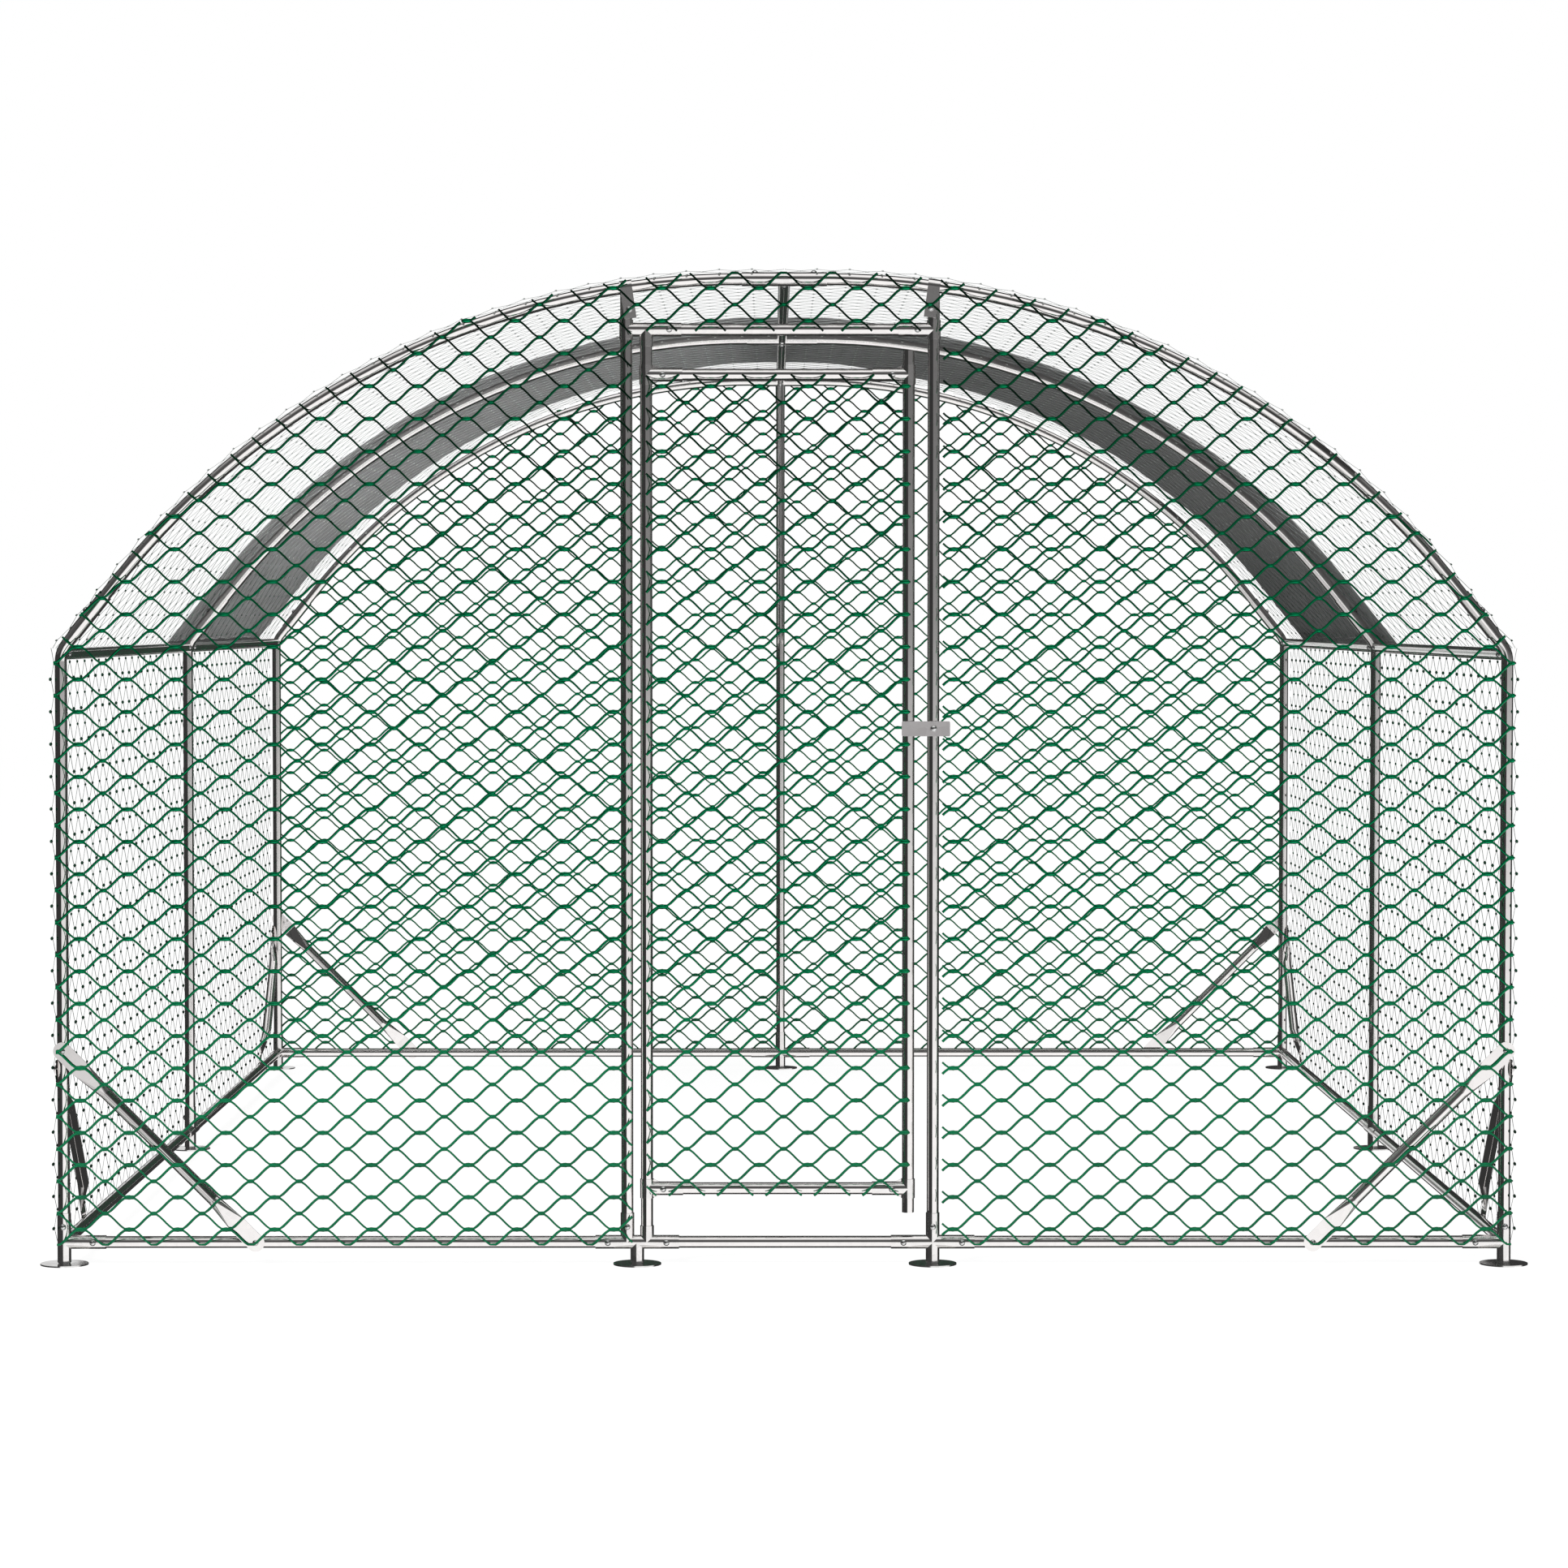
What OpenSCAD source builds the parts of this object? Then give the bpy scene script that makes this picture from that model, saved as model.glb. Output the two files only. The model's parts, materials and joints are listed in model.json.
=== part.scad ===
// Walk-in poultry run: a galvanised tube frame with an arched roof, wire netting all round,
// a cloth cover over the rear of the roof and a hinged door with a turn-plate latch.
// The origin is on the ground under the middle of the footprint. The door faces -Y and +Z is up.

/* [Run] */
// Width between the axes of the left and right posts
run_w = 3000; // [2600:10:3600]
// Length between the axes of the front and rear arches
run_l = 4000; // [3200:10:6000]
// Height of the bow axis at the crown
crown_z = 2046; // [2000:1:2400]
// Height of the bottom rail axis
rail_z = 47; // [40:1:90]

/* [Tube] */
// Outside diameter of the frame tube
tube_d = 25; // [22:0.5:28]
// Wall of the frame tube
tube_wall = 1.2; // [0.8:0.1:1.6]
// Wall of the sleeves on the fittings
sleeve_wall = 1.5; // [1:0.1:2.5]
// Radial clearance of a tube in a sleeve, and of a spigot in a tube
fit_gap = 0.3; // [0.1:0.05:0.4]
// Radial clearance of a turning part
pivot_gap = 0.1; // [0.05:0.01:0.1]
// Clearance of a piece that lies on its seat
seat_gap = 0.3; // [0.1:0.05:0.4]

/* [Arch] */
// Half of the straight length at the crown
crown_flat = 88; // [80:1:130]
// Slope of the straight haunch below the horizontal, in degrees
haunch_angle = 51.3; // [46:0.1:56]
// Length of the straight haunch, from the bow's arc to the eave corner
haunch_l = 190; // [170:1:240]
// Bend radius of the post at the eave
bend_r = 60; // [45:1:75]
// Height of the eave tubes above the start of the post's bend
eave_lift = 15; // [0:1:16]
// Distance from the eave corner to the mouth of the socket on the post
mouth_l = 150; // [130:1:165]
// Depth of the socket that holds the bow
socket_l = 100; // [70:1:105]
// Radial step where a tube is drawn down: at a bow's straight ends and round a post's bend
swage = 0.2; // [0.1:0.05:0.4]
// Length of the shoulder between the post and its socket
shoulder_l = 4; // [2:0.5:8]
// Length of the spigots that hold the purlins
spigot_l = 75; // [50:1:120]
// Distance from the arch axis to a purlin's screw
purlin_screw = 45; // [30:1:48]

/* [Fittings] */
// Reach of a fitting's arm from its post axis
arm_l = 87; // [75:1:120]
// Distance from the post axis to the screw in an arm
arm_screw = 61; // [35:1:68]
// Height of a post's sleeve above the rail axis
post_sleeve_h = 61; // [45:1:100]
// Height of the screw in a post's sleeve above the rail axis
post_screw = 33; // [25:1:38]
// Diameter of a foot disc
foot_d = 100; // [80:1:140]
// Thickness of a foot disc
foot_t = 3; // [2:0.5:5]
// Gap between a foot disc and the sleeve above it
foot_gap = 2; // [1:0.5:4]

/* [Screws] */
// Diameter of a screw's domed head
head_d = 13; // [10:0.5:15]
// Height of a screw's domed head
head_h = 4.3; // [3:0.1:5]
// Diameter of a screw's shank
shank_d = 4.8; // [4:0.1:6]
// Length of a screw's shank
shank_l = 8; // [6:0.5:9]
// Radial clearance of a shank in its hole
hole_gap = 0.1; // [0.05:0.05:0.3]
// Clearance under a screw's head
head_gap = 0.1; // [0.05:0.05:0.2]

/* [Braces] */
// Distance from the corner to an end brace's screws, along the post and along the rail
brace_leg = 400; // [340:1:500]
// Gap on a post between the flattened ends of an end brace and of a side brace
brace_apart = 1; // [0.5:0.1:20]
// Width of the flattened end of a brace
brace_plate_w = 37; // [30:1:45]
// Thickness of the flattened end of a brace
brace_plate_t = 2.4; // [1.6:0.1:3]
// Length of the flat, from the screw to the neck
brace_flat_l = 50; // [35:1:60]
// Length of the neck between the flat and the tube
brace_neck_l = 75; // [30:1:90]

/* [Door] */
// Place of the hinge post's axis across the run
hinge_post_x = -327; // [-420:1:-260]
// Place of the latch post's axis across the run
latch_post_x = 309; // [250:1:400]
// Distance from the hinge post to the door's hinge stile
hinge_offset = 41; // [38:1:60]
// Distance from the latch post to the door's latch stile
latch_offset = 51.5; // [45:0.5:70]
// Drop of the lintel axis below the crown
lintel_drop = 104; // [96:1:300]
// Drop of the door's top rail axis below the lintel
door_top_gap = 93; // [88:1:200]
// Rise of the door's bottom rail axis above the bottom rail
door_bottom_gap = 112; // [100:1:250]
// Length of the latch stile beyond the door's rails
stile_stub = 50; // [30:1:56]
// Depth of the sockets that the hinge stile turns in
pivot_depth = 20; // [12:1:30]
// Height of the sleeves on the door tees and the lintel fittings
tee_sleeve_h = 40; // [34:1:56]
// Reach of a door tee's arm from its stile axis
tee_arm_l = 75; // [60:1:100]
// Distance from the stile or post axis to the screw in a tee's arm
tee_screw = 34; // [28:1:45]
// Leg of the gusset webs on a door tee
gusset_l = 13; // [8:1:16]
// Thickness of the gusset webs
gusset_t = 3; // [2:0.5:5]
// Reach of the lintel fittings' arms from the hinge stile or the latch post
lintel_arm_l = 73; // [60:1:100]
// Distance from the hinge stile to the screw in the lintel fitting
lintel_screw = 48; // [30:1:55]
// Width of the strap that hangs a door post from the arch
clip_w = 25; // [18:1:32]
// Thickness of the strap
clip_t = 2.4; // [1.5:0.1:3]
// Length of the strap below the arch axis
clip_l = 65; // [50:1:72]
// Distance from the arch axis to the screw in the strap
clip_screw = 46; // [36:1:50]

/* [Latch] */
// Rise of the latch pivot above the bottom rail
latch_rise = 1070; // [700:1:1400]
// Length of the latch plate
latch_l = 100; // [90:1:130]
// Height of the latch plate
latch_h = 31; // [24:1:40]
// Thickness of the latch plate
latch_t = 2.5; // [2:0.1:4]
// Distance from the pivot to the short end of the plate
latch_heel = 34; // [22:1:40]
// Diameter of the pivot screw's domed head
latch_head_d = 14; // [12:0.5:18]
// Diameter of the pivot screw's shank
latch_pin_d = 6; // [5:0.1:8]
// Diameter of the bush behind the plate
latch_bush_d = 12; // [10:0.5:16]
// Radius of the plate's corners
latch_corner_r = 3; // [1:0.5:8]

/* [Netting] */
// Thickness of a net
net_t = 2; // [1:0.5:4]
// Width of a mesh, along the strands
mesh_w = 600; // [400:10:900]
// Height of a mesh, across the strands
mesh_h = 400; // [300:10:600]
// Width of a strand
strand_w = 6; // [4:0.5:14]
// Reach of a wall's net past the corner post axis
net_side_over = 12; // [6:1:16]
// Reach of the front and rear nets above the arch axis
net_top_over = 14; // [0:1:16]
// Reach of the nets below the rail axis
net_drop = 4; // [0:1:12]
// Reach of the left front net past the hinge post axis
net_hinge_over = 11; // [5:1:13]
// Distance from the latch post axis to the right front net
net_latch_over = 19; // [15:1:30]

/* [Cover] */
// Distance from the front arch to the front edge of the cover
cover_start = 1840; // [100:10:2000]
// Length of the cover along the run
cover_l = 1930; // [600:10:2000]
// Thickness of the cover
cover_t = 1.2; // [0.8:0.1:3]

/* [Hidden] */
$fn = 48;
hull_fn = 32;
// Overrun of every cut
over = 1;
// Half of the run each way
half_w = run_w / 2;
half_l = run_l / 2;
// Radii of the tubes, bores, sleeves and spigots
tube_r = tube_d / 2;
bore_r = tube_r - tube_wall;
sleeve_bore_r = tube_r + fit_gap;
sleeve_r = sleeve_bore_r + sleeve_wall;
spigot_r = bore_r - fit_gap;
spigot_bore_r = spigot_r - tube_wall;
pivot_r = tube_r + pivot_gap;
hole_r = shank_d / 2 + hole_gap;
// Where a tube starts in a fitting's arm, from the axis of the piece across it
arm_start = sleeve_r + fit_gap;
// Bow: an arc between the straight crown and the straight haunch
arc_end_x = half_w - haunch_l * cos(haunch_angle);
bow_r = (arc_end_x - crown_flat) / sin(haunch_angle);
bow_centre_z = crown_z - bow_r;
arc_end_z = bow_centre_z + bow_r * cos(haunch_angle);
corner_z = arc_end_z - haunch_l * sin(haunch_angle);
// Post: vertical to the bend, then up the haunch to the socket's mouth
bend_turn = 90 - haunch_angle;
bend_reach = bend_r * tan(bend_turn / 2);
bend_z = corner_z - bend_reach;
socket_start = mouth_l - socket_l - shoulder_l;
eave_z = bend_z + eave_lift;
socket_screw_l = mouth_l - socket_l / 2;
// Outer surfaces that the nets lie on
screw_top = head_gap + head_h;
plate_in = tube_r + seat_gap;
plate_out = plate_in + brace_plate_t;
// Side braces screw to the posts just below the end braces
side_leg = brace_leg - brace_plate_w - brace_apart;
roof_in = sleeve_r + screw_top + seat_gap;
wall_in = plate_out + screw_top + seat_gap;
wall_out = wall_in + net_t;
door_net_in = roof_in;
// Door places
hinge_x = hinge_post_x + hinge_offset;
latch_x = latch_post_x - latch_offset;
sill_fit_x = (hinge_post_x + hinge_x) / 2;
// Half of the solid middle of the hinge-side fitting
arm_core = hinge_offset / 2 + tube_r;
lintel_z = crown_z - lintel_drop;
door_top_z = lintel_z - door_top_gap;
door_bottom_z = rail_z + door_bottom_gap;
pivot_low_z = rail_z + sleeve_r;
pivot_high_z = lintel_z - sleeve_r;
latch_back = wall_out + seat_gap;
latch_z = rail_z + latch_rise;
// Roof net: flat strips that touch the bow's offset arc
roof_steps = 3;
roof_step = haunch_angle / roof_steps;
strip_r = bow_r + roof_in;
strip_tip = strip_r * tan(roof_step / 2);
strip_gap = seat_gap / 2;
roof_foot_z = corner_z + (roof_in - wall_in * sin(haunch_angle)) / cos(haunch_angle);
roof_foot_l = haunch_l + (wall_in - roof_in * sin(haunch_angle)) / cos(haunch_angle);
cover_in = (strip_r + net_t) / cos(roof_step / 2) - bow_r + seat_gap;
// Mesh of a net: each gap is a diamond, with a strand's width to the next
mesh_edge = sqrt(pow(mesh_w / 2, 2) + pow(mesh_h / 2, 2));
gap_share = 1 - strand_w * mesh_edge / (mesh_w * mesh_h / 2);
arc_steps = 12;

// Bottom fittings: place, arms as [direction, screw direction], and the post screw's direction
CORNERS = [
    [-half_w, -half_l, [[0, -90], [90, 180]], -90],
    [half_w, -half_l, [[180, -90], [90, 0]], -90],
    [-half_w, half_l, [[0, 90], [-90, 180]], 90],
    [half_w, half_l, [[180, 90], [-90, 0]], 90]
];
MIDDLES = [
    [-half_w, 0, [[90, 180], [-90, 180]], 180],
    [half_w, 0, [[90, 0], [-90, 0]], 0]
];
REAR_CENTRE = [0, half_l, [[0, 90], [180, 90]], 90];
LATCH_FOOT = [latch_post_x, -half_l, [[0, -90], [180, -90]], -90];
CROSSES = concat(CORNERS, MIDDLES, [REAR_CENTRE, LATCH_FOOT]);
ARCHES = [-half_l, 0, half_l];
CLIPS = [hinge_post_x, latch_post_x];

// Height and slope of the bow axis at a place across the run
function bow_angle(x) = abs(x) < crown_flat ? 0 : asin((abs(x) - crown_flat) / bow_r);
function bow_z(x) = bow_centre_z + bow_r * cos(bow_angle(x));

// Points of the right half of the arch outline, a distance out from its axis, from crown to eave
function half_arch(out) = concat(
    [for (i = [0 : arc_steps])
        let (a = haunch_angle * i / arc_steps)
        [crown_flat + (bow_r + out) * sin(a), bow_centre_z + (bow_r + out) * cos(a)]],
    [[half_w + out, corner_z + out * (1 - sin(haunch_angle)) / cos(haunch_angle)]]
);
function mirrored(points) = [for (i = [len(points) - 1 : -1 : 0]) [-points[i][0], points[i][1]]];

// Places of the screws that hold a bottom fitting's arms and post
function arm_screws(f) = [for (arm = f[2])
    [[f[0] + arm_screw * cos(arm[0]), f[1] + arm_screw * sin(arm[0]), rail_z], arm[1]]];
function post_screw_at(f) = [[f[0], f[1], rail_z + post_screw], f[3]];
SILL_SCREWS = [for (s = [-1, 1]) [[sill_fit_x + s * arm_screw, -half_l, rail_z], -90]];
HINGE_POST_SCREW = [[hinge_post_x, -half_l, rail_z + post_screw], -90];
LINTEL_SCREWS = [
    [[hinge_x + lintel_screw, -half_l, lintel_z], -90],
    [[latch_post_x - tee_screw, -half_l, lintel_z], -90]
];
DOOR_SCREWS = [for (z = [door_bottom_z, door_top_z])
    for (x = [hinge_x + tee_screw, latch_x - tee_screw]) [[x, -half_l, z], -90]];
SLEEVE_SCREWS = concat(
    [for (f = CROSSES) each arm_screws(f)],
    [for (f = CROSSES) post_screw_at(f)],
    SILL_SCREWS, [HINGE_POST_SCREW], LINTEL_SCREWS
);
// Places of the screws through the flattened brace ends
BRACE_SCREWS = concat(
    [for (f = CORNERS) [[f[0], f[1], rail_z + brace_leg], f[1] < 0 ? -90 : 90]],
    [for (f = CORNERS) [[f[0] - sign(f[0]) * brace_leg, f[1], rail_z], f[1] < 0 ? -90 : 90]],
    [for (f = CORNERS) [[f[0], f[1], rail_z + side_leg], f[0] < 0 ? 180 : 0]],
    [for (f = CORNERS) [[f[0], f[1] - sign(f[1]) * side_leg, rail_z], f[0] < 0 ? 180 : 0]]
);

module steel() {
    color([0.72, 0.72, 0.71])
        children();
}

module plated() {
    color([0.62, 0.62, 0.62])
        children();
}

module green_wire() {
    color([0.05, 0.45, 0.24])
        children();
}

// Turns +Z to a level direction
module level(direction) {
    rotate([0, 90, direction])
        children();
}

module ring(outer, inner) {
    difference() {
        circle(outer);
        circle(inner);
    }
}

module pipe(length, outer = tube_r, inner = bore_r) {
    linear_extrude(length)
        ring(outer, inner);
}

// A frame tube between two points on a line along X, Y or Z
module tube_between(a, b) {
    length = norm(b - a);
    turn = (b - a) / length;
    translate(a)
        rotate([0, acos(turn[2]), atan2(turn[1], turn[0])])
            pipe(length);
}

// Clears the hole for a screw, from the axis of its tube outwards
module drill(screws, reach = sleeve_r) {
    for (s = screws)
        translate(s[0])
            level(s[1])
                cylinder(h = reach + over, r = hole_r);
}

// A domed screw that stands on the XY plane, with its shank down
module screw(head = head_d, shank = shank_d, length = shank_l) {
    dome_r = (pow(head / 2, 2) + pow(head_h, 2)) / (2 * head_h);
    translate([0, 0, -length])
        cylinder(h = length + head_gap, d = shank);
    intersection() {
        translate([0, 0, head_h - dome_r])
            sphere(dome_r);
        cylinder(h = head_h + over, r = dome_r);
    }
}

module screws_at(places, seat) {
    for (s = places)
        translate(s[0])
            level(s[1])
                translate([0, 0, seat + head_gap])
                    screw();
}

// Right-hand post at the origin's arch, with spigots for the eave tubes towards the given Y signs
module post_body(spigots) {
    lap = over / 2;
    difference() {
        union() {
            translate([half_w, 0, rail_z])
                cylinder(h = bend_z - rail_z + over, r = tube_r);
            post_bend(tube_r - swage);
            up_haunch(bend_reach - over)
                cylinder(h = socket_start - bend_reach + 2 * over, r = tube_r);
            up_haunch(socket_start)
                cylinder(h = mouth_l - socket_start, r = sleeve_r);
            for (s = spigots)
                translate([half_w, 0, eave_z])
                    rotate([-90 * s, 0, 0])
                        cylinder(h = spigot_l, r = spigot_r);
        }
        translate([half_w, 0, rail_z - over])
            cylinder(h = bend_z - rail_z + over + lap, r = bore_r);
        post_bend(bore_r - swage);
        up_haunch(bend_reach - lap)
            cylinder(h = socket_start + shoulder_l - bend_reach + over, r = bore_r);
        up_haunch(socket_start + shoulder_l)
            cylinder(h = socket_l + over, r = sleeve_bore_r);
        for (s = spigots)
            translate([half_w, 0, eave_z])
                rotate([-90 * s, 0, 0]) {
                    cylinder(h = spigot_l + over, r = spigot_bore_r);
                    translate([0, 0, purlin_screw])
                        rotate([0, -90, 0])
                            cylinder(h = spigot_r + over, r = hole_r);
                }
        up_haunch(socket_screw_l)
            rotate([0, 90, 0])
                cylinder(h = sleeve_r + over, r = hole_r);
    }
}

module post_bend(radius) {
    translate([half_w - bend_r, 0, bend_z])
        rotate([90, 0, 0])
            rotate_extrude(angle = bend_turn)
                translate([bend_r, 0])
                    circle(radius);
}

// Places something on the haunch axis, a distance up from the eave corner
module up_haunch(distance) {
    translate([half_w - distance * cos(haunch_angle), 0, corner_z + distance * sin(haunch_angle)])
        rotate([0, haunch_angle - 90, 0])
            children();
}

module post(side, place, spigots) {
    end_hole = [half_w, 0, rail_z + brace_leg];
    side_hole = [half_w, 0, rail_z + side_leg];
    steel()
        mirror([side < 0 ? 1 : 0, 0, 0])
            translate([0, place, 0])
                difference() {
                    post_body(spigots);
                    drill([[[half_w, 0, rail_z + post_screw], place == 0 ? 0 : sign(place) * 90]]);
                    if (place != 0)
                        drill([[end_hole, sign(place) * 90], [side_hole, 0]]);
                }
}

// Right-hand bow, from the crown's middle down into the post's socket
module bow_body() {
    foot = mouth_l - socket_l + fit_gap;
    difference() {
        union() {
            translate([fit_gap, 0, crown_z])
                level(0)
                    pipe(crown_flat - fit_gap + over, tube_r - swage, bore_r - swage);
            translate([crown_flat, 0, bow_centre_z])
                rotate([90, 0, 0])
                    rotate([0, 0, bend_turn])
                        rotate_extrude(angle = haunch_angle)
                            translate([bow_r, 0])
                                ring(tube_r, bore_r);
            up_haunch(foot)
                pipe(haunch_l - foot + over, tube_r - swage, bore_r - swage);
        }
        up_haunch(socket_screw_l)
            rotate([0, 90, 0])
                cylinder(h = sleeve_r + over, r = hole_r);
        translate([arm_screw, 0, crown_z])
            cylinder(h = sleeve_r + over, r = hole_r);
    }
}

module bow(side, place) {
    steel()
        mirror([side < 0 ? 1 : 0, 0, 0])
            translate([0, place, 0])
                bow_body();
}

// Sleeve over the two bows' ends, with spigots for the ridge and a socket for a centre post
module crown_fitting(place, spigots, with_post) {
    steel()
        translate([0, place, crown_z])
            difference() {
                union() {
                    translate([-crown_flat, 0, 0])
                        level(0)
                            cylinder(h = 2 * crown_flat, r = sleeve_r);
                    for (s = spigots)
                        rotate([-90 * s, 0, 0])
                            cylinder(h = spigot_l, r = spigot_r);
                    if (with_post)
                        translate([0, 0, -post_sleeve_h])
                            cylinder(h = post_sleeve_h, r = sleeve_r);
                }
                translate([-crown_flat - over, 0, 0])
                    level(0)
                        cylinder(h = 2 * (crown_flat + over), r = sleeve_bore_r);
                for (s = spigots)
                    rotate([-90 * s, 0, 0])
                        cylinder(h = spigot_l + over, r = spigot_bore_r);
                for (s = spigots)
                    translate([0, s * purlin_screw, -spigot_r - over])
                        cylinder(h = spigot_r + over, r = hole_r);
                if (with_post)
                    translate([0, 0, -post_sleeve_h - over])
                        cylinder(h = post_sleeve_h + over - arm_start, r = sleeve_bore_r);
                for (x = [-arm_screw, arm_screw])
                    translate([x, 0, 0])
                        cylinder(h = sleeve_r + over, r = hole_r);
            }
}

module ridge_tubes() {
    steel()
        for (s = [-1, 1])
            difference() {
                tube_between([0, s * arm_start, crown_z], [0, s * (half_l - arm_start), crown_z]);
                for (y = [purlin_screw, half_l - purlin_screw])
                    translate([0, s * y, crown_z])
                        rotate([180, 0, 0])
                            cylinder(h = sleeve_r, r = hole_r);
            }
}

module eave_tubes(side) {
    start = tube_r + fit_gap;
    steel()
        for (s = [-1, 1])
            difference() {
                tube_between(
                    [side * half_w, s * start, eave_z],
                    [side * half_w, s * (half_l - start), eave_z]
                );
                for (y = [purlin_screw, half_l - purlin_screw])
                    translate([side * half_w, s * y, eave_z])
                        level(side < 0 ? 0 : 180)
                            cylinder(h = sleeve_r, r = hole_r);
            }
}

// Upright sleeve over a post and its foot, with arms for the rails
module bottom_fitting(f) {
    low = foot_t + foot_gap;
    high = rail_z + post_sleeve_h;
    steel()
        difference() {
            union() {
                translate([f[0], f[1], low])
                    cylinder(h = high - low, r = sleeve_r);
                for (arm = f[2])
                    translate([f[0], f[1], rail_z])
                        level(arm[0])
                            cylinder(h = arm_l, r = sleeve_r);
            }
            translate([f[0], f[1], low - over])
                cylinder(h = high - low + 2 * over, r = sleeve_bore_r);
            for (arm = f[2])
                translate([f[0], f[1], rail_z])
                    level(arm[0])
                        translate([0, 0, sleeve_r])
                            cylinder(h = arm_l, r = sleeve_bore_r);
            drill(arm_screws(f));
            drill([post_screw_at(f)]);
        }
}

module corner_fittings() {
    for (f = CORNERS)
        bottom_fitting(f);
}

module middle_tees() {
    for (f = MIDDLES)
        bottom_fitting(f);
}

module rear_centre_tee() {
    bottom_fitting(REAR_CENTRE);
}

module latch_side_sill_fitting() {
    bottom_fitting(LATCH_FOOT);
}

// Level sleeve with sockets for the hinge post and for the turning end of the hinge stile
module hinge_side_sill_fitting() {
    low = foot_t + foot_gap;
    steel()
        difference() {
            union() {
                translate([sill_fit_x - arm_l, -half_l, rail_z])
                    level(0)
                        cylinder(h = 2 * arm_l, r = sleeve_r);
                translate([hinge_post_x, -half_l, rail_z])
                    cylinder(h = post_sleeve_h, r = sleeve_r);
                translate([hinge_x, -half_l, rail_z])
                    cylinder(h = pivot_low_z + pivot_depth - rail_z, r = sleeve_r);
                translate([sill_fit_x, -half_l, low])
                    cylinder(h = rail_z - low, r = sleeve_r);
            }
            translate([sill_fit_x - arm_l - over, -half_l, rail_z])
                level(0)
                    cylinder(h = arm_l + over - arm_core, r = sleeve_bore_r);
            translate([sill_fit_x + arm_core, -half_l, rail_z])
                level(0)
                    cylinder(h = arm_l, r = sleeve_bore_r);
            translate([hinge_post_x, -half_l, pivot_low_z])
                cylinder(h = post_sleeve_h, r = sleeve_bore_r);
            translate([hinge_x, -half_l, pivot_low_z])
                cylinder(h = pivot_depth + over, r = pivot_r);
            translate([sill_fit_x, -half_l, low - over])
                cylinder(h = rail_z - sleeve_r - low + over, r = sleeve_bore_r);
            drill(SILL_SCREWS);
            drill([HINGE_POST_SCREW]);
        }
}

module front_left_rail() {
    steel()
        difference() {
            tube_between([-half_w + arm_start, -half_l, rail_z],
                [sill_fit_x - arm_core - fit_gap, -half_l, rail_z]);
            drill([arm_screws(CORNERS[0])[0], SILL_SCREWS[0], BRACE_SCREWS[4]]);
        }
}

module door_sill() {
    steel()
        difference() {
            tube_between([sill_fit_x + arm_core + fit_gap, -half_l, rail_z],
                [latch_post_x - arm_start, -half_l, rail_z]);
            drill([SILL_SCREWS[1], arm_screws(LATCH_FOOT)[1]]);
        }
}

module front_right_rail() {
    steel()
        difference() {
            tube_between([latch_post_x + arm_start, -half_l, rail_z],
                [half_w - arm_start, -half_l, rail_z]);
            drill([arm_screws(LATCH_FOOT)[0], arm_screws(CORNERS[1])[0], BRACE_SCREWS[5]]);
        }
}

module rear_rails() {
    steel()
        for (s = [-1, 1])
            difference() {
                tube_between([s * arm_start, half_l, rail_z],
                    [s * (half_w - arm_start), half_l, rail_z]);
                for (x = [arm_screw, half_w - arm_screw, half_w - brace_leg])
                    drill([[[s * x, half_l, rail_z], 90]]);
            }
}

module side_rails(side) {
    steel()
        for (s = [-1, 1])
            difference() {
                tube_between([side * half_w, s * arm_start, rail_z],
                    [side * half_w, s * (half_l - arm_start), rail_z]);
                for (y = [arm_screw, half_l - arm_screw, half_l - side_leg])
                    drill([[[side * half_w, s * y, rail_z], side < 0 ? 180 : 0]]);
            }
}

module rear_centre_post() {
    steel()
        difference() {
            tube_between([0, half_l, rail_z], [0, half_l, crown_z - arm_start - fit_gap]);
            drill([post_screw_at(REAR_CENTRE)]);
        }
}

// A door post from its foot to just under the arch
module door_post(x, low, screw_at) {
    steel()
        difference() {
            tube_between([x, -half_l, low], [x, -half_l, post_top(x)]);
            drill([screw_at]);
            clip_place(x)
                translate([0, 0, -clip_screw])
                    level(-90)
                        cylinder(h = sleeve_r, r = hole_r);
        }
}

// The post stops clear of the sloping arch over its whole width
function post_top(x) = bow_z(abs(x) + tube_r) - (tube_r + fit_gap) / cos(bow_angle(abs(x) + tube_r));

module hinge_post() {
    door_post(hinge_post_x, pivot_low_z + fit_gap, HINGE_POST_SCREW);
}

module latch_post() {
    difference() {
        door_post(latch_post_x, rail_z, post_screw_at(LATCH_FOOT));
        translate([latch_post_x, -half_l, latch_z])
            level(-90)
                cylinder(h = sleeve_r, r = latch_pin_d / 2 + hole_gap);
    }
}

// Turns a strap square to the arch where a door post meets it
module clip_place(x) {
    translate([x, -half_l, bow_z(x)])
        rotate([0, sign(x) * bow_angle(x), 0])
            children();
}

// Straps that run down the front of the door posts and hook over the arch
module post_clips() {
    steel()
        for (x = CLIPS)
            clip_place(x)
                difference() {
                    union() {
                        translate([-clip_w / 2, -plate_in - clip_t, -clip_l])
                            cube([clip_w, clip_t, clip_l]);
                        translate([-clip_w / 2, 0, 0])
                            rotate([90, 0, 90])
                                rotate_extrude_half(plate_in, clip_t, clip_w);
                    }
                    translate([0, 0, -clip_screw])
                        level(-90)
                            cylinder(h = plate_in + clip_t + over, r = hole_r);
                }
}

// Half ring over the XZ plane's top, extruded along its axis
module rotate_extrude_half(inner, wall, width) {
    linear_extrude(width)
        intersection() {
            ring(inner + wall, inner);
            translate([-inner - wall, 0])
                square([2 * (inner + wall), inner + wall]);
        }
}

module lintel() {
    steel()
        difference() {
            tube_between([hinge_x + arm_start, -half_l, lintel_z],
                [latch_post_x - arm_start, -half_l, lintel_z]);
            drill(LINTEL_SCREWS);
        }
}

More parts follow.
